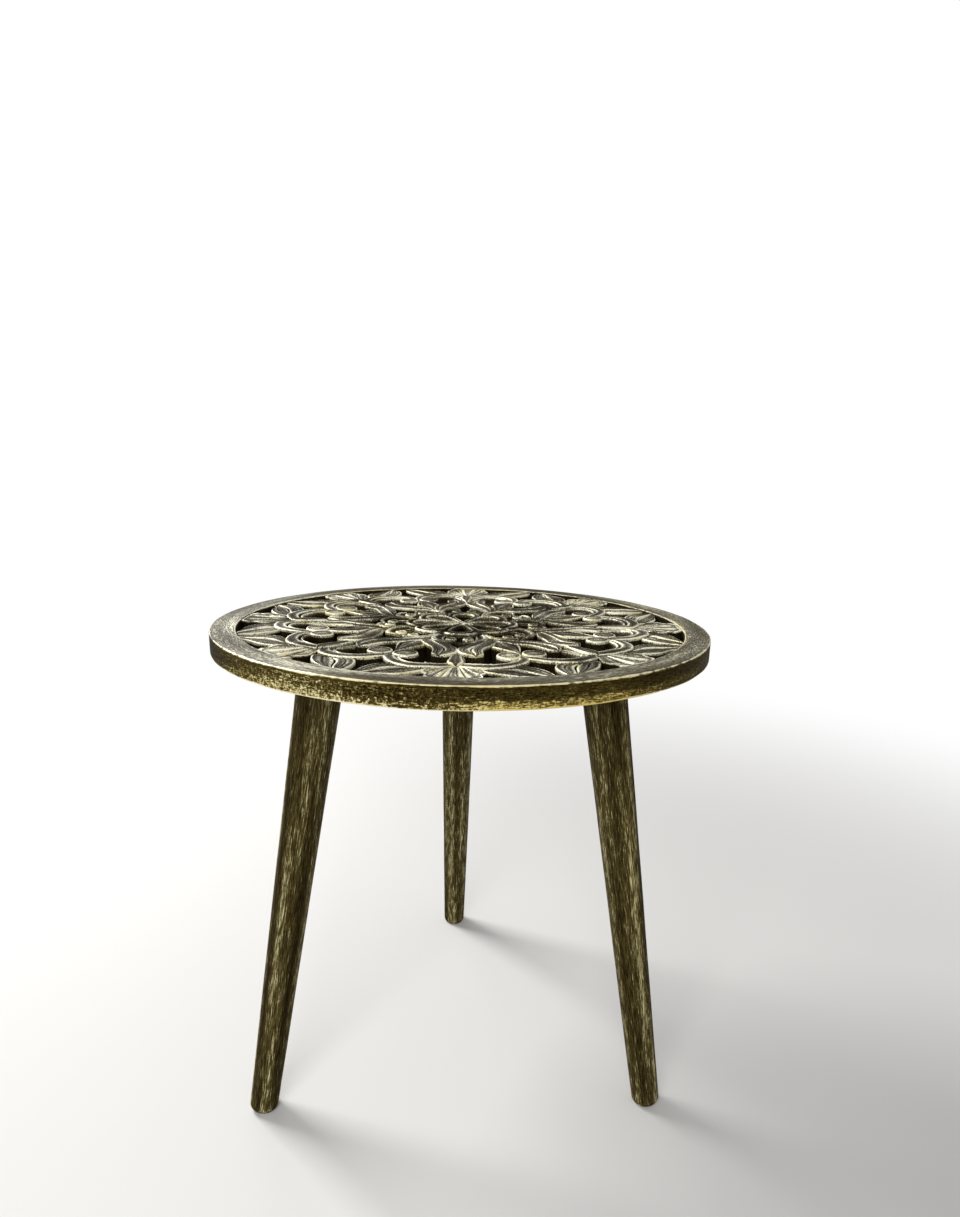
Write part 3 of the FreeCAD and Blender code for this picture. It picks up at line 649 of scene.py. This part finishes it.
def rim_section(angle):
    """Radius and height round the section: outer side, top, inner side and underside, with round corners.
    The rounding r(angle) = base (1 + waves); a corner is its centre plus r times its directions."""
    rounding = EDGE_ROUND * sum((size * np.sin(n * angle + start) for size, n, start in EDGE_WAVES), 1.0)
    inner = TABLE_RADIUS - RIM_WIDTH
    places = [(TABLE_RADIUS, UNDERSIDE, 270, 1, -1), (TABLE_RADIUS, RIM_TOP, 0, 1, 1),
              (inner, RIM_TOP, 90, -1, 1), (inner, UNDERSIDE, 180, -1, -1)]
    corners = []
    for radius, height, start, out, up in places:
        turn = np.radians(start + np.linspace(0.0, 90.0, CORNER_STEPS))
        corners.append(np.stack([radius - rounding * (out - np.cos(turn)),
                                 height - rounding * (up - np.sin(turn))], axis=2))
    section, rubs = [], []
    for k, (count, rub) in enumerate(FLAT_RUBS):
        share = np.linspace(0.0, 1.0, count + 2)[1:-1][None, :, None]
        here, after = corners[k], corners[(k + 1) % len(corners)]
        section += [here, (1 - share) * here[:, -1:] + share * after[:, :1]]
        rubs += CORNER_RUBS[k] + [rub] * count
    return np.concatenate(section, axis=1), np.array(rubs)


def around_rim(spread, angle, count):
    """The spread's amounts at each angle, on its own columns of the section and zero on the others."""
    first, last, amounts = spread
    column = np.arange(count)
    return (column >= first) * (column <= last) * np.interp(np.degrees(angle), *np.transpose(amounts))


def rim_ring():
    """The section carried round the axis: place = (radius cos, radius sin, height)."""
    angle = full_turn(RIM_STEPS)
    section, rubs = rim_section(angle)
    radius, height = section[..., 0], section[..., 1]
    rows, count = radius.shape
    c, s = np.cos(angle), np.sin(angle)
    points = np.stack([radius * c, radius * s, height], axis=2)
    along = TABLE_RADIUS / RIM_GRAIN_STRETCH
    grain = np.stack([along * c + 0 * radius, along * s + 0 * radius, radius + height], axis=2)
    corner = np.arange(rows * count).reshape(rows, count)
    beside = np.roll(corner, -1, axis=1)
    faces = quads(corner, beside, np.roll(beside, -1, axis=0), np.roll(corner, -1, axis=0))
    # Below, the top's painted sheen and shade and the side's painted shade are spread around the rim and
    # taken from its rub, beside the real gilt and flecks
    low_gilt, high_gilt, fleck, top_painted_light, side_painted_shade, side = (
        around_rim(spread, angle, count)
        for spread in (LOW_GILT, HIGH_GILT, FLECKS, TOP_PAINTED_SHEEN_AND_SHADE, SIDE_PAINTED_SHADE, OUTSIDE))
    return new_piece("rim", points.reshape(-1, 3), faces, rub=(rubs - side_painted_shade - top_painted_light).ravel(),
                     grain=grain.reshape(-1, 3), side=side.ravel(), fleck=fleck.ravel(),
                     gilt=(low_gilt + high_gilt).ravel())


rim = rim_ring()
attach(rim, "top")
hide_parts("rim_ring")
print(f"rim: {len(rim.data.polygons)} faces")

# %% [markdown]
# The legs are turned, tapered and cut level at the floor. Each one's axis is that of its own joint,
# which is why the lathe function takes a seat, a direction and a profile of distance and radius.
# Its vertex attribute keeps the leg's own coordinates, so that the grain follows each leg's lean.

# %% Turned pieces along a leg's axis
LEG_TOP_RADIUS, LEG_FOOT_RADIUS = 20.0 * MM, 13.0 * MM
LEG_TOP_ROUND, LEG_FOOT_ROUND = 2.0 * MM, 7.0 * MM
SEAT_GAP, FOOT_TRIM = 0.1 * MM, 1.0 * MM
BOLT_RADIUS, BORE_SHOWN = 4.0 * MM, 3 * MM
LEG_STEPS, TAPER_STEPS, ROUND_STEPS = 96, 60, 9
LEG_UNEVEN = 0.006
# The unevenness is a sine times a cosine: waves around the leg and radians a metre along it
UNEVEN_WAVES = ((3, 40), (2, -23))
# Streaks of rub: size, number around the leg, share of the sway and start
STREAKS = ((0.13, 4, 1, 0.0), (0.08, 9, -2, 1.0))
STREAK_SWAY, SWAY_RATE, SWAY_START = 1.2, 11, 2.0
LEG_GRAIN_STRETCH = 32.0
# Rub along the leg, by metres from its seat, and each leg's painted light: more rub where a leg is lit
# brighter, less where it stands in shade
LEG_RUBS = [(0, 0.7), (0.003, 0.6), (0.01, 0.36), (0.4, 0.38), (0.415, 0.48)]
LEG_PAINTED_LIGHT = {"left": 0.03, "right": -0.02, "back": 0.0}
LEG_SIDE, LEG_FLECK = 0.8, 0.08
joint_of = {joint["name"]: joint for joint in frame["joints"]}


def axis_frame(side):
    """A leg's seat on its block, and three directions: down along the leg and two across it."""
    joint = joint_of[side + "_leg_turn"]
    down = np.array(joint["axis"], float)
    across = np.cross(down, [0.0, 0.0, 1.0])
    across /= np.linalg.norm(across)
    return np.array(joint["pos_m"], float), down, across, np.cross(down, across)


def turned_surface(side, distance, radius):
    """Place = seat + distance * down + radius (cos * one + sin * two); both arrays are steps x points."""
    seat, down, one, two = axis_frame(side)
    angle = full_turn(len(distance))
    local = np.stack([radius * np.cos(angle), radius * np.sin(angle), distance + 0 * angle], axis=2)
    return seat + local @ np.stack([one, two, down]), local


def wrapped_faces(steps, points):
    """Quads of a grid that closes on itself around the axis."""
    corner = np.arange(steps * points).reshape(steps, points)
    after = np.roll(corner, -1, axis=0)
    return quads(corner[:, :-1], corner[:, 1:], after[:, 1:], after[:, :-1])


def leg_profile(length):
    """From the foot's middle round its rounding, up the taper, over the top's rounding and into the bore."""
    turn = np.linspace(0.0, math.pi / 2, ROUND_STEPS)
    taper = np.linspace(0.0, 1.0, TAPER_STEPS)[1:-1, None]
    foot_end, bore_end = length + FOOT_TRIM, SEAT_GAP + BORE_SHOWN
    foot = np.stack([foot_end - LEG_FOOT_ROUND * (1 - np.cos(turn)),
                     LEG_FOOT_RADIUS - LEG_FOOT_ROUND * (1 - np.sin(turn))], axis=1)
    top = np.stack([SEAT_GAP + LEG_TOP_ROUND * (1 - np.sin(turn)),
                    LEG_TOP_RADIUS - LEG_TOP_ROUND * (1 - np.cos(turn))], axis=1)
    side = (1 - taper) * foot[-1] + taper * top[0]
    bore = [(SEAT_GAP, BOLT_RADIUS), (bore_end, BOLT_RADIUS), (bore_end, 0.0)]
    middle = [(foot_end, 0.0), (foot_end, 0.5 * foot[0, 1])]
    return np.concatenate([middle, foot, side, top, bore])


def turned_leg(side):
    """The leg's profile carried round its axis with a faint unevenness, and cut level at the floor."""
    seat, down = axis_frame(side)[:2]
    distance, radius = leg_profile(-seat[2] / down[2]).T
    angle = full_turn(LEG_STEPS)
    one, two = (around * angle + along * distance for around, along in UNEVEN_WAVES)
    uneven = 1.0 - LEG_UNEVEN * (1 + np.sin(one) * np.cos(two))
    points, local = turned_surface(side, distance[None] + 0 * angle, radius[None] * uneven)
    points[..., 2] = np.maximum(points[..., 2], 0.0)
    # Each leg's rub is raised or lowered here as painted light or shade
    rub = np.interp(distance, *np.transpose(LEG_RUBS)) + LEG_PAINTED_LIGHT[side]
    sway = STREAK_SWAY * np.sin(SWAY_RATE * distance + SWAY_START)
    for size, around, share, start in STREAKS:
        rub = rub + size * np.sin(around * angle + share * sway + start)
    grain = local * [1.0, 1.0, 1.0 / LEG_GRAIN_STRETCH]
    piece = new_piece(side + "_turned_leg", points.reshape(-1, 3), wrapped_faces(*points.shape[:2]),
                      rub=rub.ravel(), grain=grain.reshape(-1, 3), side=np.full(rub.size, LEG_SIDE),
                      fleck=np.full(rub.size, LEG_FLECK))
    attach(piece, side + "_leg")
    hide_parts(side + "_leg")
    return piece


legs = [turned_leg(side) for side in SIDES]
print(f"legs: {sum(len(leg.data.polygons) for leg in legs)} faces")

# %% [markdown]
# When a leg is unscrewed, the threaded end of its bolt shows between the leg and the block.
# A thread is a groove that climbs by one pitch a turn: the radius is a triangle wave of the
# distance along the bolt minus the angle's share of a pitch.

# %% Threaded bolts
BOLT_WOOD_LENGTH, BOLT_HEAD_LENGTH = 32.0 * MM, 14.0 * MM
THREAD_PITCH, THREAD_DEPTH = 1.25 * MM, 0.65 * MM
BOLT_CHAMFER, CHAMFER_LENGTH, BOLT_POINT = 0.8 * MM, 0.9 * MM, 7 * MM
BOLT_STEPS, BOLT_ROWS = 32, 260


def threaded_bolt(side):
    """radius = full radius - depth * triangle(distance / pitch - angle / full turn), fading at both ends."""
    distance = np.linspace(-BOLT_HEAD_LENGTH, BOLT_WOOD_LENGTH, BOLT_ROWS)[None]
    angle = full_turn(BOLT_STEPS)
    phase = np.mod(distance / THREAD_PITCH - angle / (2 * math.pi), 1.0)
    groove = 1.0 - np.abs(2 * phase - 1)
    chamfer_end = -BOLT_HEAD_LENGTH + CHAMFER_LENGTH
    top_taper = BOLT_CHAMFER * (1 - smooth_step(-BOLT_HEAD_LENGTH, chamfer_end, distance))
    point = smooth_step(BOLT_WOOD_LENGTH, BOLT_WOOD_LENGTH - BOLT_POINT, distance)
    radius = (BOLT_RADIUS - THREAD_DEPTH * groove - top_taper) * point
    radius[:, 0] = 0.0
    points = turned_surface(side, distance + 0 * angle, radius)[0]
    piece = new_piece(side + "_threaded_bolt", points.reshape(-1, 3), wrapped_faces(*points.shape[:2]))
    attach(piece, side + "_bolt")
    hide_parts(side + "_hanger_bolt")
    return piece


bolts = [threaded_bolt(side) for side in SIDES]
print(f"bolts: {sum(len(bolt.data.polygons) for bolt in bolts)} faces")

# %% [markdown]
# One finish covers the whole table: dark umber below, antique brass rubbed over it with a dry cloth.
# The cloth touches only what stands proud, so the brass follows the rub value on each vertex, broken up
# by fine specks, slow patches and flecks, with gold left in places. All three finishes share that, so it is
# one node group. It puts out a colour, a roughness, a metal mask, a sheen and a bump height, while the shader
# stays in each material.

# %% The rubbed brass node group
UMBER = (0.010, 0.0072, 0.0026, 1)
OLIVE_BROWN = (0.050, 0.040, 0.018, 1)
BRASS = (0.170, 0.155, 0.094, 1)
# The palest brass is rubbed brass and, being made so light, also a painted highlight on the crests
PALE_BRASS_AND_HIGHLIGHT = (0.86, 0.82, 0.61, 1)
GOLD = (0.66, 0.51, 0.11, 1)
WARM_TINT = (1.0, 0.87, 0.40, 1)
WHITE = (1, 1, 1, 1)
# The cover at which each of these begins and is full
OLIVE_SHOWS, BRASS_SHOWS, PALE_AND_HIGHLIGHT_SHOWS = (0.04, 0.46), (0.40, 0.84), (0.66, 0.99)
GOLD_SHOWS, METAL_SHOWS, SHEEN_SHOWS = (0.6, 0.95), (0.25, 1.0), (0.1, 0.6)
# The noise's scale, and the values between which a fleck or a patch of gold begins and is full
FLECK_SCALE, FLECK_SHOWS = 480.0, (-0.1, 0.16)
GOLD_SCALE, GOLD_PATCH_SHOWS = 26.0, (0.03, 0.13)
# What gilt adds to the cover, and what pale brass takes from the tint of the sides
GILT_COVERS, PALE_UNTINTS = 0.4, -0.7
BARE_ROUGHNESS, RUB_SMOOTHS = 0.6, -0.2
SIDE_METAL, TOP_METAL = 0.05, 0.25
PATCH_HEIGHT, FLECK_HEIGHT = 0.6, 0.5


def set_inputs(tree, node, inputs):
    """Gives each named input of a node a plain value or another node's output."""
    for name, value in inputs.items():
        if isinstance(value, bpy.types.NodeSocket):
            tree.links.new(value, node.inputs[name])
        else:
            node.inputs[name].default_value = value


def add_node(tree, kind, inputs=None, **settings):
    """One node with its settings and inputs."""
    node = tree.nodes.new(kind)
    for name, value in settings.items():
        setattr(node, name, value)
    set_inputs(tree, node, inputs or {})
    return node


def arithmetic(tree, operation, *values):
    """A Math node over values and outputs, as one output."""
    return add_node(tree, "ShaderNodeMath", dict(enumerate(values)), operation=operation).outputs[0]


def product(tree, one, two, plus=None):
    """one * two, or one * two + plus."""
    if plus is None:
        return arithmetic(tree, "MULTIPLY", one, two)
    return arithmetic(tree, "MULTIPLY_ADD", one, two, plus)


def new_group(name, vectors, values, outputs):
    """An empty shader group with named sockets: vectors and values with their defaults in, outputs out."""
    tree = bpy.data.node_groups.new(name, "ShaderNodeTree")
    for label in vectors:
        tree.interface.new_socket(label, in_out="INPUT", socket_type="NodeSocketVector")
    for label, default in values.items():
        socket = tree.interface.new_socket(label, in_out="INPUT", socket_type="NodeSocketFloat")
        socket.default_value = default
    for label, kind in outputs.items():
        tree.interface.new_socket(label, in_out="OUTPUT", socket_type="NodeSocket" + kind)
    return tree, tree.nodes.new("NodeGroupInput").outputs, tree.nodes.new("NodeGroupOutput")


def noise(tree, place, scale, detail=3.0, roughness=0.6):
    """A noise value, centred on zero."""
    inputs = {"Vector": place, "Scale": scale, "Detail": detail, "Roughness": roughness}
    value = add_node(tree, "ShaderNodeTexNoise", inputs).outputs["Fac"]
    return arithmetic(tree, "SUBTRACT", value, 0.5)


def ramp(tree, value, low, high):
    """The value mapped so that low becomes 0 and high becomes 1, with soft ends."""
    inputs = {"Value": value, "From Min": low, "From Max": high}
    return add_node(tree, "ShaderNodeMapRange", inputs, interpolation_type="SMOOTHSTEP").outputs["Result"]


def mixed(tree, share, one, two, blend="MIX"):
    """Two colours mixed or blended by a share."""
    inputs = {"Factor": share, 6: one, 7: two}
    return add_node(tree, "ShaderNodeMix", inputs, data_type="RGBA", blend_type=blend).outputs[2]


def rubbed_brass_group():
    """cover = rub + specks + patches + flecks; the colour climbs with it from umber over olive to pale brass,
    which is also a painted highlight on the crests.
    Metal and sheen follow it too, mostly where the piece faces up, since the sides were never polished."""
    values = {"Rub": 0.5, "Side": 0.0, "Fleck": 0.0, "Gilt": 0.0, "Speck scale": 700.0, "Speck strength": 1.0,
              "Patch scale": 40.0, "Patch strength": 1.0, "Gold": 0.5, "Gloss": 0.5}
    outputs = {"Colour": "Color", "Roughness": "Float", "Metal": "Float", "Sheen": "Float", "Height": "Float"}
    tree, given, end = new_group("rubbed_brass", ("Place", "Spot"), values, outputs)
    place = given["Place"]
    speck = noise(tree, place, given["Speck scale"], roughness=0.65)
    patch = noise(tree, place, given["Patch scale"], roughness=0.55)
    fleck = ramp(tree, noise(tree, given["Spot"], FLECK_SCALE, detail=5.0, roughness=0.7), *FLECK_SHOWS)
    fleck = product(tree, fleck, given["Fleck"])
    cover = product(tree, speck, given["Speck strength"], given["Rub"])
    cover = product(tree, patch, given["Patch strength"], cover)
    cover = product(tree, given["Gilt"], GILT_COVERS, arithmetic(tree, "ADD", cover, fleck))
    colour = mixed(tree, ramp(tree, cover, *OLIVE_SHOWS), UMBER, OLIVE_BROWN)
    colour = mixed(tree, ramp(tree, cover, *BRASS_SHOWS), colour, BRASS)
    # The share of pale brass, which also carries the painted highlight on the crests
    bright = ramp(tree, cover, *PALE_AND_HIGHLIGHT_SHOWS)
    colour = mixed(tree, bright, colour, PALE_BRASS_AND_HIGHLIGHT)
    gold = product(tree, ramp(tree, noise(tree, place, GOLD_SCALE), *GOLD_PATCH_SHOWS), given["Gold"])
    gold = product(tree, arithmetic(tree, "MAXIMUM", gold, given["Gilt"]), ramp(tree, cover, *GOLD_SHOWS))
    colour = mixed(tree, gold, colour, GOLD)
    tinted = product(tree, product(tree, bright, PALE_UNTINTS, 1.0), given["Side"])
    rubbed = ramp(tree, cover, *METAL_SHOWS)
    upward = arithmetic(tree, "SUBTRACT", 1.0, given["Side"])
    set_inputs(tree, end, {
        "Colour": mixed(tree, 1.0, colour, mixed(tree, tinted, WHITE, WARM_TINT), blend="MULTIPLY"),
        "Roughness": product(tree, rubbed, RUB_SMOOTHS, BARE_ROUGHNESS),
        "Metal": product(tree, rubbed, product(tree, upward, TOP_METAL, SIDE_METAL)),
        "Sheen": product(tree, ramp(tree, cover, *SHEEN_SHOWS), product(tree, upward, given["Gloss"])),
        "Height": product(tree, fleck, FLECK_HEIGHT, product(tree, patch, PATCH_HEIGHT, speck))})
    return tree


rubbed_brass = rubbed_brass_group()
print("group rubbed_brass:", len(rubbed_brass.nodes), "nodes")

# %% [markdown]
# Each finish places that group with its own values. The carving reads Object coordinates, because its cuts
# run every way; the rim and the legs read their grain attribute, so that the dry brush follows the turning.

# %% Finishes of the table
BARE_GLOSS, VARNISH_ROUGHNESS, FINISH_BUMP = 0.02, 0.42, 0.6


def found_node(tree, kind):
    """The tree's node of that kind."""
    return next(node for node in tree.nodes if node.type == kind)


def new_material(name):
    """A material with a plain Principled shader; returns it with its node tree and shader."""
    material = bpy.data.materials.new(name)
    material.use_nodes = True
    return material, material.node_tree, found_node(material.node_tree, "BSDF_PRINCIPLED")


def object_place(tree):
    """Object coordinates."""
    return add_node(tree, "ShaderNodeTexCoord").outputs["Object"]


def attribute(tree, name, output):
    """One output of a vertex attribute."""
    return add_node(tree, "ShaderNodeAttribute", attribute_name=name).outputs[output]


def bumped(tree, height, strength, distance):
    """The normal of a surface with a bump of the given height."""
    inputs = {"Height": height, "Strength": strength, "Distance": distance}
    return add_node(tree, "ShaderNodeBump", inputs).outputs["Normal"]


def rubbed_finish(name, grain, bump, values):
    """Umber and rubbed brass; the brush marks follow the grain attribute or Object coordinates."""
    material, tree, shader = new_material(name)
    spot = object_place(tree)
    inputs = dict(values, Spot=spot, Place=attribute(tree, "grain", "Vector") if grain else spot)
    for label in ("Rub", "Side", "Fleck", "Gilt"):
        inputs[label] = attribute(tree, label.lower(), "Fac")
    finish = add_node(tree, "ShaderNodeGroup", inputs, node_tree=rubbed_brass).outputs
    set_inputs(tree, shader, {
        "Base Color": finish["Colour"], "Roughness": finish["Roughness"], "Metallic": finish["Metal"],
        "Coat Weight": finish["Sheen"], "Normal": bumped(tree, finish["Height"], FINISH_BUMP, bump),
        "Specular IOR Level": BARE_GLOSS, "Coat Roughness": VARNISH_ROUGHNESS})
    return material


carving_finish = rubbed_finish("carving_rubbed_brass", grain=False, bump=0.25 * MM, values={
    "Speck scale": 900.0, "Speck strength": 1.8, "Patch scale": 30.0, "Patch strength": 1.5,
    "Gold": 0.35, "Gloss": 0.32})
rim_finish = rubbed_finish("rim_rubbed_brass", grain=True, bump=0.3 * MM, values={
    "Speck scale": 1700.0, "Speck strength": 1.6, "Patch scale": 60.0, "Patch strength": 1.3,
    "Gold": 0.5, "Gloss": 0.14})
leg_finish = rubbed_finish("leg_rubbed_brass", grain=True, bump=0.5 * MM, values={
    "Speck scale": 2000.0, "Speck strength": 2.4, "Patch scale": 60.0, "Patch strength": 0.85,
    "Gold": 0.2, "Gloss": 0.2})
for piece in carving:
    piece.data.materials.append(carving_finish)
rim.data.materials.append(rim_finish)
for leg in legs:
    leg.data.materials.append(leg_finish)
print("rubbed finishes on", len(carving) + 1 + len(legs), "pieces")

# %% [markdown]
# The blocks under the top are plain stained wood, the pegs bare beech and the hardware zinc-plated steel.
# They are seen only from below or with a leg unscrewed, and keep the solid model's own shapes.

# %% Plain wood and steel
WOOD_GLOSS = 0.15
WOOD_STRETCH = (1.0, 0.08, 1.0)
CLOUD = (-0.3, 0.3)
FINE_GRAIN, GRAIN_ROUGHENS = 0.35, 0.3
ZINC_ROUGHNESS, CLOUD_ROUGHENS = 0.36, 0.35
DARK_ZINC, LIGHT_ZINC = (0.42, 0.42, 0.41, 1), (0.62, 0.62, 0.60, 1)


def wood_finish(name, dark, light, roughness):
    """Grain as noise drawn out along one direction, between a dark and a light wood colour."""
    material, tree, shader = new_material(name)
    place = object_place(tree)
    stretched = add_node(tree, "ShaderNodeMapping", {"Vector": place, "Scale": WOOD_STRETCH})
    grain = noise(tree, stretched.outputs["Vector"], scale=260.0, detail=5.0, roughness=0.65)
    value = product(tree, noise(tree, place, scale=900.0, detail=2.0), FINE_GRAIN, grain)
    set_inputs(tree, shader, {
        "Base Color": mixed(tree, ramp(tree, value, *CLOUD), dark, light),
        "Roughness": product(tree, grain, GRAIN_ROUGHENS, roughness),
        "Specular IOR Level": WOOD_GLOSS,
        "Normal": bumped(tree, value, strength=0.5, distance=0.3 * MM)})
    return material


def steel_finish():
    """Zinc plating: a cool grey that is cloudy in its brightness and its gloss."""
    material, tree, shader = new_material("zinc_plated_steel")
    cloud = noise(tree, object_place(tree), scale=180.0, detail=4.0)
    set_inputs(tree, shader, {
        "Base Color": mixed(tree, ramp(tree, cloud, *CLOUD), DARK_ZINC, LIGHT_ZINC),
        "Roughness": product(tree, cloud, CLOUD_ROUGHENS, ZINC_ROUGHNESS),
        "Metallic": 1.0})
    return material


block_wood = wood_finish("stained_block_wood", dark=(0.022, 0.014, 0.006, 1),
                         light=(0.100, 0.066, 0.028, 1), roughness=0.62)
peg_wood = wood_finish("bare_beech", dark=(0.46, 0.31, 0.18, 1), light=(0.66, 0.50, 0.32, 1), roughness=0.6)
steel = steel_finish()
for bolt in bolts:
    bolt.data.materials.append(steel)
plain_finishes = {"panel_dowels": peg_wood}
for side in SIDES:
    plain_finishes[side + "_leg_block"] = block_wood
    plain_finishes[side + "_threaded_insert"] = steel
    plain_finishes[side + "_block_screws"] = steel
for node, material in plain_finishes.items():
    frame["nodes"][node].material_slots[0].material = material
print("plain finishes:", block_wood.name, peg_wood.name, steel.name)

# %% [markdown]
# The stage is a plain pale floor that keeps the table's shadow near it and fades to white further out,
# so that every view has the same clean ground. Seen from below it lets the light and the view through.

# %% Floor, world and lamps
FLOOR_RINGS, FLOOR_STEPS = (0.0, 0.4, 1.0, 2.0, 4.0, 8.0), 64
FLOOR_COLOUR = (0.80, 0.79, 0.77, 1)
FLOOR_ROUGHNESS = 0.9
# From this distance the floor fades to white, which it reaches at the second
FLOOR_FADES = (0.5, 1.6)


def seen_directly(tree):
    """1 for rays from the camera, in a reflection or through glass; 0 for those that only bring light."""
    path = add_node(tree, "ShaderNodeLightPath").outputs
    mirrored = arithmetic(tree, "MAXIMUM", path["Is Glossy Ray"], path["Is Transmission Ray"])
    return arithmetic(tree, "MAXIMUM", path["Is Camera Ray"], mirrored)


def pale_floor():
    """A disc as a polar grid; its material fades from a pale matt floor to plain white with the distance."""
    reach = np.array(FLOOR_RINGS)
    angle = full_turn(FLOOR_STEPS)
    points = np.stack([reach * np.cos(angle), reach * np.sin(angle), 0 * reach + 0 * angle], axis=2)
    mesh = bpy.data.meshes.new("floor")
    mesh.from_pydata(points.reshape(-1, 3).tolist(), [], wrapped_faces(*points.shape[:2]).tolist())
    floor = into_scene("floor", mesh)
    material, tree, shader = new_material("pale_floor")
    set_inputs(tree, shader, {"Base Color": FLOOR_COLOUR, "Roughness": FLOOR_ROUGHNESS})
    length = add_node(tree, "ShaderNodeVectorMath", {0: object_place(tree)}, operation="LENGTH")
    far = product(tree, ramp(tree, length.outputs["Value"], *FLOOR_FADES), seen_directly(tree))
    white = add_node(tree, "ShaderNodeEmission", {"Color": WHITE, "Strength": 1.0})
    ground = add_node(tree, "ShaderNodeMixShader", {0: far, 1: shader.outputs[0], 2: white.outputs[0]})
    below = add_node(tree, "ShaderNodeNewGeometry").outputs["Backfacing"]
    clear = add_node(tree, "ShaderNodeBsdfTransparent")
    last = add_node(tree, "ShaderNodeMixShader", {0: below, 1: ground.outputs[0], 2: clear.outputs[0]})
    set_inputs(tree, found_node(tree, "OUTPUT_MATERIAL"), {"Surface": last.outputs[0]})
    floor.data.materials.append(material)


def white_world(strength):
    """A soft white surround: plain white where the camera or a reflection sees it, dimmer as light."""
    world = bpy.data.worlds.new("studio")
    bpy.context.scene.world = world
    world.use_nodes = True
    tree = world.node_tree
    light = product(tree, seen_directly(tree), 1.0 - strength, strength)
    set_inputs(tree, found_node(tree, "BACKGROUND"), {"Color": WHITE, "Strength": light})


def soft_lamp(name, place, target, size, power):
    """A square lamp at a place, facing a target."""
    data = bpy.data.lights.new(name, "AREA")
    data.size = size
    data.energy = power
    lamp = into_scene(name, data)
    lamp.visible_camera = False
    away = Vector(np.array(place) - np.array(target))
    lamp.matrix_world = Matrix.Translation(place) @ away.to_track_quat("Z", "Y").to_matrix().to_4x4()


pale_floor()
white_world(strength=0.30)
soft_lamp("key_lamp", (-1.3, 0.9, 1.7), (0, 0, 0.42), size=0.8, power=38.0)
soft_lamp("window_lamp", (-0.95, 1.95, 0.85), (0, 0, 0.45), size=0.9, power=7.0)
soft_lamp("front_lamp", (-0.6, -1.9, 1.2), (0, 0, 0.3), size=1.2, power=24.0)
bpy.context.scene.view_settings.view_transform = "Standard"
print("stage ready")
